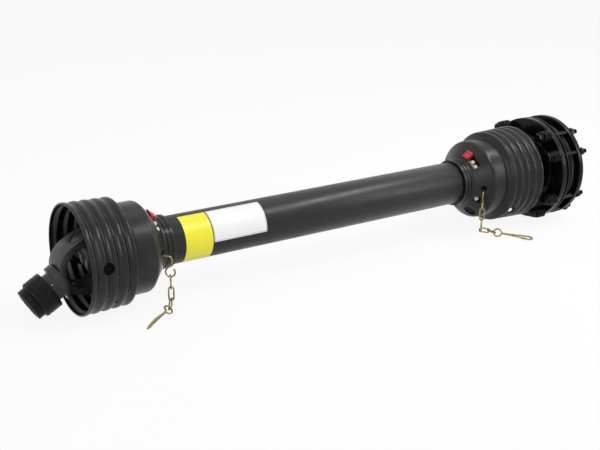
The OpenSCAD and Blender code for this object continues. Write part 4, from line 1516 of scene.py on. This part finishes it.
@dataclass
class Clutch:
    """The friction clutch: flange yoke, plates, linings, hub and eight spring bolts."""

    circle_r: float = 83.0
    from_ear: float = 36.0
    from_side: float = 27.0
    bolt_r: float = 4.0
    thread_depth: float = 0.72
    hex_r: float = 7.5
    chamfer: float = 0.9
    head_t: float = 5.5
    nut_t: float = 6.5
    washer_r: float = 8.5
    washer_t: float = 2.0
    spring_r: float = 10.0
    wire_r: float = 1.3
    coils: int = 5
    spring_x: float = -88.5
    flange_x: float = -68.0
    plate_x: float = -18.0
    bolt_end: float = -1.5
    thread_pitch: float = 1.25
    thread_from: float = 5.0
    thread_steps: int = 8
    shank_sides: int = 24
    spring_steps: int = 26
    spring_sides: int = 12

    def places(self, name: str) -> Object:
        """Makes the points of the bolt places, each with its own turn.

        Args:
            name: Name of the new object.

        Returns:
            An object of eight points.
        """
        degs = [90 * s + m * self.from_ear for s in (-1, 1) for m in (-1, 1)]
        degs += [(0 if s > 0 else 180) + m * self.from_side for s in (-1, 1) for m in (-1, 1)]
        turns = [math.radians(d) for d in degs]
        obj = object_from(name, [(0, self.circle_r * math.cos(a), self.circle_r * math.sin(a))
                                 for a in turns], [])
        turn = obj.data.attributes.new("turn", "FLOAT", "POINT")
        turn.data.foreach_set("value", turns)
        return obj

    def threaded_shank(self) -> Object:
        """Makes a bolt's shank along X with a rolled thread on its free end.

        Returns:
            The shank.
        """
        x0, x1, sides = self.spring_x - self.washer_t, self.bolt_end, self.shank_sides
        thread_x, step = self.plate_x + self.thread_from, self.thread_pitch / self.thread_steps
        xs = [x0, x0 + 4, x0 + 30, thread_x - 2, thread_x - 0.3]
        count = int((x1 - 0.6 - thread_x) / step)
        xs += [thread_x + step * i for i in range(count)] + [x1 - 0.5, x1]
        points: list[Point] = []
        for x in xs:
            for k in range(sides):
                a = math.tau * k / sides
                r = self.bolt_r
                if x >= thread_x:
                    phase = ((x - thread_x) / self.thread_pitch - k / sides) % 1.0
                    r -= self.thread_depth * (1 - abs(2 * phase - 1))
                if x > x1 - 0.55:
                    r = min(r, self.bolt_r - 0.7 - (0.4 if x == x1 else 0.0))
                points.append((x, r * math.cos(a), r * math.sin(a)))
        rows = len(xs)
        faces = [(i * sides + k, i * sides + (k + 1) % sides, (i + 1) * sides + (k + 1) % sides,
                  (i + 1) * sides + k) for i in range(rows - 1) for k in range(sides)]
        faces += [tuple(range(sides)), tuple(range((rows - 1) * sides, rows * sides))]
        return tidy(object_from("shank", points, faces))

    def bolts(self, shop: Workshop) -> None:
        """Makes the bolts, washers and nuts and repeats each at the eight places.

        Args:
            shop: The workshop.
        """
        head_x, plate_x = self.spring_x - self.washer_t, self.plate_x
        bolt = joined("bolt", [
            hexagon("head", self.hex_r, head_x - self.head_t, head_x, self.chamfer),
            self.threaded_shank()])
        nut = hexagon("nut", self.hex_r, plate_x, plate_x + self.nut_t, self.chamfer)
        thread_r = self.bolt_r - 0.1
        bore = lathe("bore", [(plate_x - 1, 0), (plate_x - 1, thread_r), (plate_x + 8, thread_r),
                              (plate_x + 8, 0)], 32)
        cut(nut, bore)
        washer = lathe("washer", round_section([
            (head_x, self.bolt_r), (head_x, self.washer_r), (self.spring_x, self.washer_r),
            (self.spring_x, self.bolt_r)], 0.4), 48)
        for node, piece in (("clutch_bolts", bolt), ("clutch_nuts", nut),
                            ("clutch_washers", washer)):
            spots = self.places(node + "_made")
            shop.fasteners.run(spots, Piece=piece, Finish=shop.finishes[Slot.CLUTCH])
            bpy.data.objects.remove(piece)
            shop.hand_over(smooth(spots, angle=35), Slot.CLUTCH, node)

    def springs(self, shop: Workshop) -> None:
        """Coils the eight springs.

        Args:
            shop: The workshop.
        """
        spots = self.places("clutch_springs_coiled")
        shop.springs.run(spots, Mean_radius=(self.spring_r - self.wire_r) * MM,
                         Wire_radius=self.wire_r * MM, Length=(self.flange_x - self.spring_x) * MM,
                         Start=self.spring_x * MM, Coils=float(self.coils),
                         Steps_a_coil=self.spring_steps, Sides=self.spring_sides,
                         Finish=shop.finishes[Slot.CLUTCH])
        shop.hand_over(smooth(spots, angle=70), Slot.CLUTCH, "clutch_springs")

    def build(self, shop: Workshop) -> None:
        """Dresses the plates and makes the spring bolts.

        Args:
            shop: The workshop.
        """
        shop.dress(Slot.CLUTCH, "clutch_flange_yoke", edge=1.2, angle=35, segments=3)
        shop.dress(Slot.CLUTCH, "clutch_drive_ring", edge=0.5)
        shop.dress(Slot.CLUTCH, "clutch_pressure_plate", edge=0.9, segments=3)
        shop.dress(Slot.YOKE, "clutch_hub", edge=0.5)
        shop.dress(Slot.LINING, "clutch_lined_disc", edge=0.3)
        shop.dress(Slot.LINING, "friction_rings", edge=0.3)
        shop.dress(Slot.BRONZE, "hub_bush", edge=0.3)
        shop.dress(Slot.STEEL, "hub_set_screw", edge=0.2)
        self.bolts(shop)
        self.springs(shop)


@dataclass
class CheckChain:
    """One check chain: S-hook, links and snap hook, each drawn from one round wire."""

    end: End
    hole_deg: float
    ways: list[Point]
    sides: list[Point]
    seats: list[Point]
    wire_r: float = 1.15
    hook_wire_r: float = 1.25
    link_l: float = 20.0
    link_w: float = 7.0
    hook_l: float = 58.0
    eye_r: float = 6.2
    round_r: float = 8.3
    hole_u: float = 112.6
    hole_at_r: float = 51.6
    tilt: float = 41.0
    loop_r: float = 6.7
    upper: tuple[float, float] = (6.5, -10.2)
    lower: tuple[float, float] = (10.1, -26.9)
    play: float = 0.15
    hook_gap: float = 1.4
    wire_sides: int = 16
    wire_fineness: int = 4

    @staticmethod
    def framed(o: Vector, along: Vector, side: Vector) -> Matrix:
        """The frame at o with X along one way and Y nearest to another.

        Args:
            o: Origin in millimetres.
            along: The way of X.
            side: The way that Y is nearest to.

        Returns:
            A 4 x 4 matrix in millimetres.
        """
        u = along.normalized()
        v = (side - side.dot(u) * u).normalized()
        w = u.cross(v)
        matrix = Matrix((u, v, w)).transposed().to_4x4()
        matrix.translation = o
        return matrix

    def crown(self) -> Vector:
        """The crown of the S-hook, where the first link hangs.

        Returns:
            The point in millimetres.
        """
        a, t = math.radians(self.hole_deg), math.radians(self.tilt)
        x = self.end.at(self.hole_u) + self.end.inward * self.lower[0] * math.cos(t)
        return Vector((x, self.hole_at_r * math.cos(a) - self.lower[0] * math.sin(t),
                       self.hole_at_r * math.sin(a) + self.lower[1] - self.loop_r))

    def link_start(self, i: int) -> Vector:
        """Where a link starts, seated in the crown of the piece before it.

        Args:
            i: Number of the link, from 0.

        Returns:
            The point in millimetres.
        """
        base = self.crown()
        if i:
            base = self.link_start(i - 1) + self.link_l * Vector(self.ways[i - 1]).normalized()
        return base + (2 * self.wire_r + self.play) * Vector(self.seats[i])

    def drawn(self, shop: Workshop, name: str, points: Sequence[Vector], radius: float,
              closed: bool, node: str) -> Object:
        """Draws one wire piece.

        Args:
            shop: The workshop.
            name: Name of the piece.
            points: The wire's route in millimetres.
            radius: The wire's radius.
            closed: Whether the route closes.
            node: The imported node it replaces.

        Returns:
            The piece.
        """
        count = len(points)
        edges = [(i, (i + 1) % count) for i in range(count if closed else count - 1)]
        obj = object_from(name, [tuple(p) for p in points], [], edges)
        shop.wire.run(obj, Wire_radius=radius * MM, Sides=self.wire_sides,
                      Fineness=self.wire_fineness, Finish=shop.finishes[Slot.ZINC])
        return shop.hand_over(smooth(tidy(obj), angle=60), Slot.ZINC, node)

    def s_hook(self, shop: Workshop) -> None:
        """Bends the S-hook through the bell's chain hole.

        Args:
            shop: The workshop.
        """
        route = [(-8.0, -4.6), (-4.0, -3.6), (0.0, -3.4)]
        route += [(self.upper[0] + self.loop_r * math.cos(math.radians(a)),
                   self.upper[1] + self.loop_r * math.sin(math.radians(a)))
                  for a in range(100, -41, -20)]
        route += [(self.lower[0] + self.loop_r * math.cos(math.radians(a)),
                   self.lower[1] + self.loop_r * math.sin(math.radians(a)))
                  for a in range(140, 411, 18)]
        a, t = math.radians(self.hole_deg), math.radians(self.tilt)
        base = self.framed(Vector(), Vector((math.cos(t), -math.sin(t), 0)), Vector((0, 0, 1)))
        points = []
        for x, y in route:
            p = base @ Vector((x, y, 0)) + Vector((
                0, self.hole_at_r * math.cos(a), self.hole_at_r * math.sin(a)))
            points.append(Vector((self.end.at(self.hole_u + p.x), p.y, p.z)))
        word = self.end.word
        self.drawn(shop, f"s_hook_{word}_drawn", points, self.wire_r, False, f"s_hook_{word}")

    def links(self, shop: Workshop) -> None:
        """Bends the links and hangs each in the one before it.

        Args:
            shop: The workshop.
        """
        half = (self.link_l - self.link_w) / 2
        for i in range(len(self.ways) - 1):
            place = self.framed(self.link_start(i), Vector(self.ways[i]), Vector(self.sides[i]))
            points = []
            for s, first in ((1, -90), (-1, 90)):
                for k in range(9):
                    a = math.radians(first + 22.5 * k)
                    points.append(place @ Vector((
                        self.link_l / 2 + s * half + self.link_w / 2 * math.cos(a),
                        self.link_w / 2 * math.sin(a), 0)))
            node = f"chain_link_{self.end.word}_{i + 1}"
            self.drawn(shop, node + "_drawn", points, self.wire_r, True, node)

    def snap_hook(self, shop: Workshop) -> None:
        """Bends the snap hook and hangs its eye in the last link.

        Args:
            shop: The workshop.
        """
        last = len(self.ways) - 1
        way = Vector(self.ways[last]).normalized()
        before = Vector(self.ways[last - 1]).normalized()
        o = (self.link_start(last - 1) + self.link_l * before
             + (self.wire_r + self.hook_wire_r + self.play) * Vector(self.seats[last])
             + self.eye_r * way)
        place = self.framed(o, way, Vector(self.sides[last]).cross(way))
        end_x, neck, e, h = self.hook_l - self.round_r, self.hook_gap, self.eye_r, self.round_r
        route: list[Point] = [(end_x - 10, -h, 0)]
        route += [(end_x + h * math.cos(math.radians(a)), h * math.sin(math.radians(a)), 0)
                  for a in range(-90, 91, 20)]
        route += [(end_x - 6, h - 0.6, 0), (e + 6, neck + 0.4, 0), (e + 2.4, neck, 0.1),
                  (e + 0.7, neck, 0.8)]
        route += [(e * math.cos(math.radians(t)), neck * (1 - (t - 22) / 158),
                   e * math.sin(math.radians(t))) for t in range(22, 339, 24)]
        route += [(e + 0.7, -neck, -0.8), (e + 2.4, -neck, -0.1), (e + 6, -neck - 0.4, 0),
                  (end_x - 1, -h + 3, 0)]
        node = f"snap_hook_{self.end.word}"
        self.drawn(shop, node + "_drawn", [place @ Vector(p) for p in route],
                   self.hook_wire_r, False, node)

    def build(self, shop: Workshop) -> None:
        """Makes the whole chain.

        Args:
            shop: The workshop.
        """
        self.s_hook(shop)
        self.links(shop)
        self.snap_hook(shop)


@dataclass(frozen=True)
class SoftBox:
    """A rectangular lamp: its place, the point it faces and its size in metres, and its watts."""

    name: str
    place: Point
    target: Point
    size: tuple[float, float]
    power: float

    def hang(self) -> None:
        """Hangs the lamp in the scene."""
        data = bpy.data.lights.new(self.name, "AREA")
        data.shape = "RECTANGLE"
        data.size, data.size_y = self.size
        data.energy = self.power
        obj = bpy.data.objects.new(self.name, data)
        obj.location = self.place
        way = Vector(self.target) - Vector(self.place)
        obj.rotation_euler = way.to_track_quat("-Z", "Y").to_euler()
        bpy.context.scene.collection.objects.link(obj)


@dataclass
class Studio:
    """The camera, the lamps, the pale floor and the white surroundings."""

    eye: Point = (-1392.0, -1272.5, 491.8)
    way: Point = (0.5242, 0.7904, -0.3171)
    lens: float = 62.77
    sensor: float = 36.0
    sight_m: float = 60.0
    floor_low: tuple[Point, Point] = ((-920.0, 0.0, -78.9), (-40.0, 0.0, -88.2))
    floor_reach: float = 9000.0
    floor_middle: float = -500.0
    floor_tints: tuple[Colour, Colour] = ((0.86, 0.86, 0.86), (0.88, 0.88, 0.88))
    floor_clouds: Layer = Layer(3.0, 2.0, 0.5)
    floor_dull: float = 0.9
    floor_white: float = 0.90
    room_light: float = 0.40
    lamps: tuple[SoftBox, ...] = (
        SoftBox("soft box above", (-0.6, 0.2, 1.5), (-0.5, 0.0, 0.0), (1.9, 0.7), 4.0),
        SoftBox("long strip", (0.45, -0.58, 1.5), (0.0, 0.0, 0.0), (1.6, 0.17), 19.0),
        SoftBox("strip left", (-2.3, -0.9, 0.6), (-0.7, 0.0, 0.0), (0.14, 1.0), 7.0),
        SoftBox("strip right", (1.5, -1.5, 0.9), (-0.4, 0.0, 0.0), (0.14, 1.2), 10.0))

    def camera(self) -> None:
        """Sets the camera at the photograph's viewing angle."""
        data = bpy.data.cameras.new("camera")
        data.lens = self.lens
        data.sensor_width = self.sensor
        data.clip_end = self.sight_m
        obj = bpy.data.objects.new("camera", data)
        obj.location = Vector(self.eye) * MM
        obj.rotation_euler = Vector(self.way).to_track_quat("-Z", "Y").to_euler()
        bpy.context.scene.collection.objects.link(obj)
        bpy.context.scene.camera = obj

    def white_for_eyes(self, tree: Any, plain: Any, amount: float) -> Any:
        """Mixes white into a shader where the camera, gloss or glass looks at it.

        The world gives plain white light there. A floor lets the look pass through to that
        white, so it doesn't hide a part whose joints have swung below it.

        Args:
            tree: The node tree.
            plain: The shader's socket.
            amount: Share of white.

        Returns:
            The mixed shader's socket.
        """
        path = tree.nodes.new("ShaderNodeLightPath")
        seen = path.outputs["Is Camera Ray"]
        for name in ("Is Glossy Ray", "Is Transmission Ray"):
            either = tree.nodes.new("ShaderNodeMath")
            either.operation = "MAXIMUM"
            tree.links.new(seen, either.inputs[0])
            tree.links.new(path.outputs[name], either.inputs[1])
            seen = either.outputs[0]
        share = tree.nodes.new("ShaderNodeMath")
        share.operation = "MULTIPLY"
        share.inputs[1].default_value = amount
        tree.links.new(seen, share.inputs[0])
        in_world = "World Output" in tree.nodes
        white = tree.nodes.new("ShaderNodeBackground" if in_world else "ShaderNodeBsdfTransparent")
        white.inputs["Color"].default_value = (1.0, 1.0, 1.0, 1.0)
        mixed = tree.nodes.new("ShaderNodeMixShader")
        tree.links.new(share.outputs[0], mixed.inputs[0])
        tree.links.new(plain, mixed.inputs[1])
        tree.links.new(white.outputs[0], mixed.inputs[2])
        return mixed.outputs[0]

    def surroundings(self) -> None:
        """Sets soft even light, and white where it is looked at."""
        world = bpy.data.worlds.new("soft room")
        bpy.context.scene.world = world
        world.use_nodes = True
        tree = world.node_tree
        tree.nodes.clear()
        out = tree.nodes.new("ShaderNodeOutputWorld")
        out.name = "World Output"
        soft = tree.nodes.new("ShaderNodeBackground")
        soft.inputs[0].default_value = (1.0, 1.0, 1.0, 1.0)
        soft.inputs[1].default_value = self.room_light
        tree.links.new(self.white_for_eyes(tree, soft.outputs[0], 1.0), out.inputs[0])

    def floor(self) -> None:
        """Lays a pale floor under the two lowest points of the shaft."""
        a, b = (Vector(p) for p in self.floor_low)
        slope = (b.z - a.z) / (b.x - a.x)
        reach, middle = self.floor_reach, self.floor_middle
        points = [(middle + sx * reach, sy * reach, a.z + slope * (middle + sx * reach - a.x))
                  for sx, sy in ((-1, -1), (1, -1), (1, 1), (-1, 1))]
        obj = object_from("floor", points, [(0, 1, 2, 3)])
        recipe = Recipe("pale floor")
        soft = recipe.noise(self.floor_clouds)
        recipe.surface(Base_Color=recipe.blend(soft, *self.floor_tints),
                       Roughness=self.floor_dull)
        out = next(n for n in recipe.tree.nodes if n.type == "OUTPUT_MATERIAL")
        mixed = self.white_for_eyes(recipe.tree, recipe.shader.outputs[0], self.floor_white)
        recipe.tree.links.new(mixed, out.inputs["Surface"])
        obj.data.materials.append(recipe.material)

    def build(self) -> None:
        """Sets the camera, the lamps, the floor and the surroundings."""
        scene = bpy.context.scene
        scene.view_settings.view_transform = "Standard"
        self.camera()
        self.surroundings()
        self.floor()
        for lamp in self.lamps:
            lamp.hang()
        LOG.info("studio: camera, floor and %d lamps", len(self.lamps))


def main() -> None:
    """Builds every piece of the shaft in order."""
    logging.basicConfig(level=logging.INFO, format="%(name)s: %(message)s")
    Studio().build()
    shop = Workshop(Finishes().build(), wire_routine(), fastener_routine(), spring_routine(),
                    rib_routine())
    Guard(End.TRACTOR, chain_deg=177, bore_r=35.0,
          skirt_holes=((175.5, 24, 8.5), (225, 40, 3.5))).build(shop)
    Guard(End.IMPLEMENT, chain_deg=182, bore_r=32.0, skirt_holes=((220, 49, 7.5),)).build(shop)
    GuardTubes().build(shop)
    TractorEnd().build(shop)
    UniversalJoint(End.TRACTOR, "yoke").build(shop)
    UniversalJoint(End.IMPLEMENT, "flange").build(shop)
    DriveTubes().build(shop)
    Clutch().build(shop)
    CheckChain(
        End.TRACTOR, hole_deg=177,
        ways=[(0, 0, -1), (0, 0, -1), (-0.515, -0.751, -0.41), (-0.795, -0.607, -0.012)],
        sides=[(0.45, 0.89, 0), (0.963, -0.27, 0), (0.31, -0.61, 0.73), (-0.5, 0.64, 0.58)],
        seats=[(0, 0, 1), (0, 0, 1), (0.298, 0.759, 0.767), (0.69, 0.82, 0.4)]).build(shop)
    CheckChain(
        End.IMPLEMENT, hole_deg=182,
        ways=[(-0.12, -0.125, -0.985), (-0.12, -0.125, -0.985), (0.944, -0.19, -0.27),
              (0.92, 0.193, -0.34), (0.683, -0.7215, -0.1055)],
        sides=[(0.656, -0.755, 0), (0.755, 0.656, 0), (0.2, -0.33, 0.92), (-0.13, 0.97, 0.2),
               (0.1, -0.05, 0.99)],
        seats=[(0.118, 0.127, 0.984), (0.118, 0.127, 0.984), (-0.837, 0.445, 0.743),
               (-1.012, -0.053, 0.306), (-0.949, -0.188, 0.345)]).build(shop)


if __name__ == "__main__":
    main()
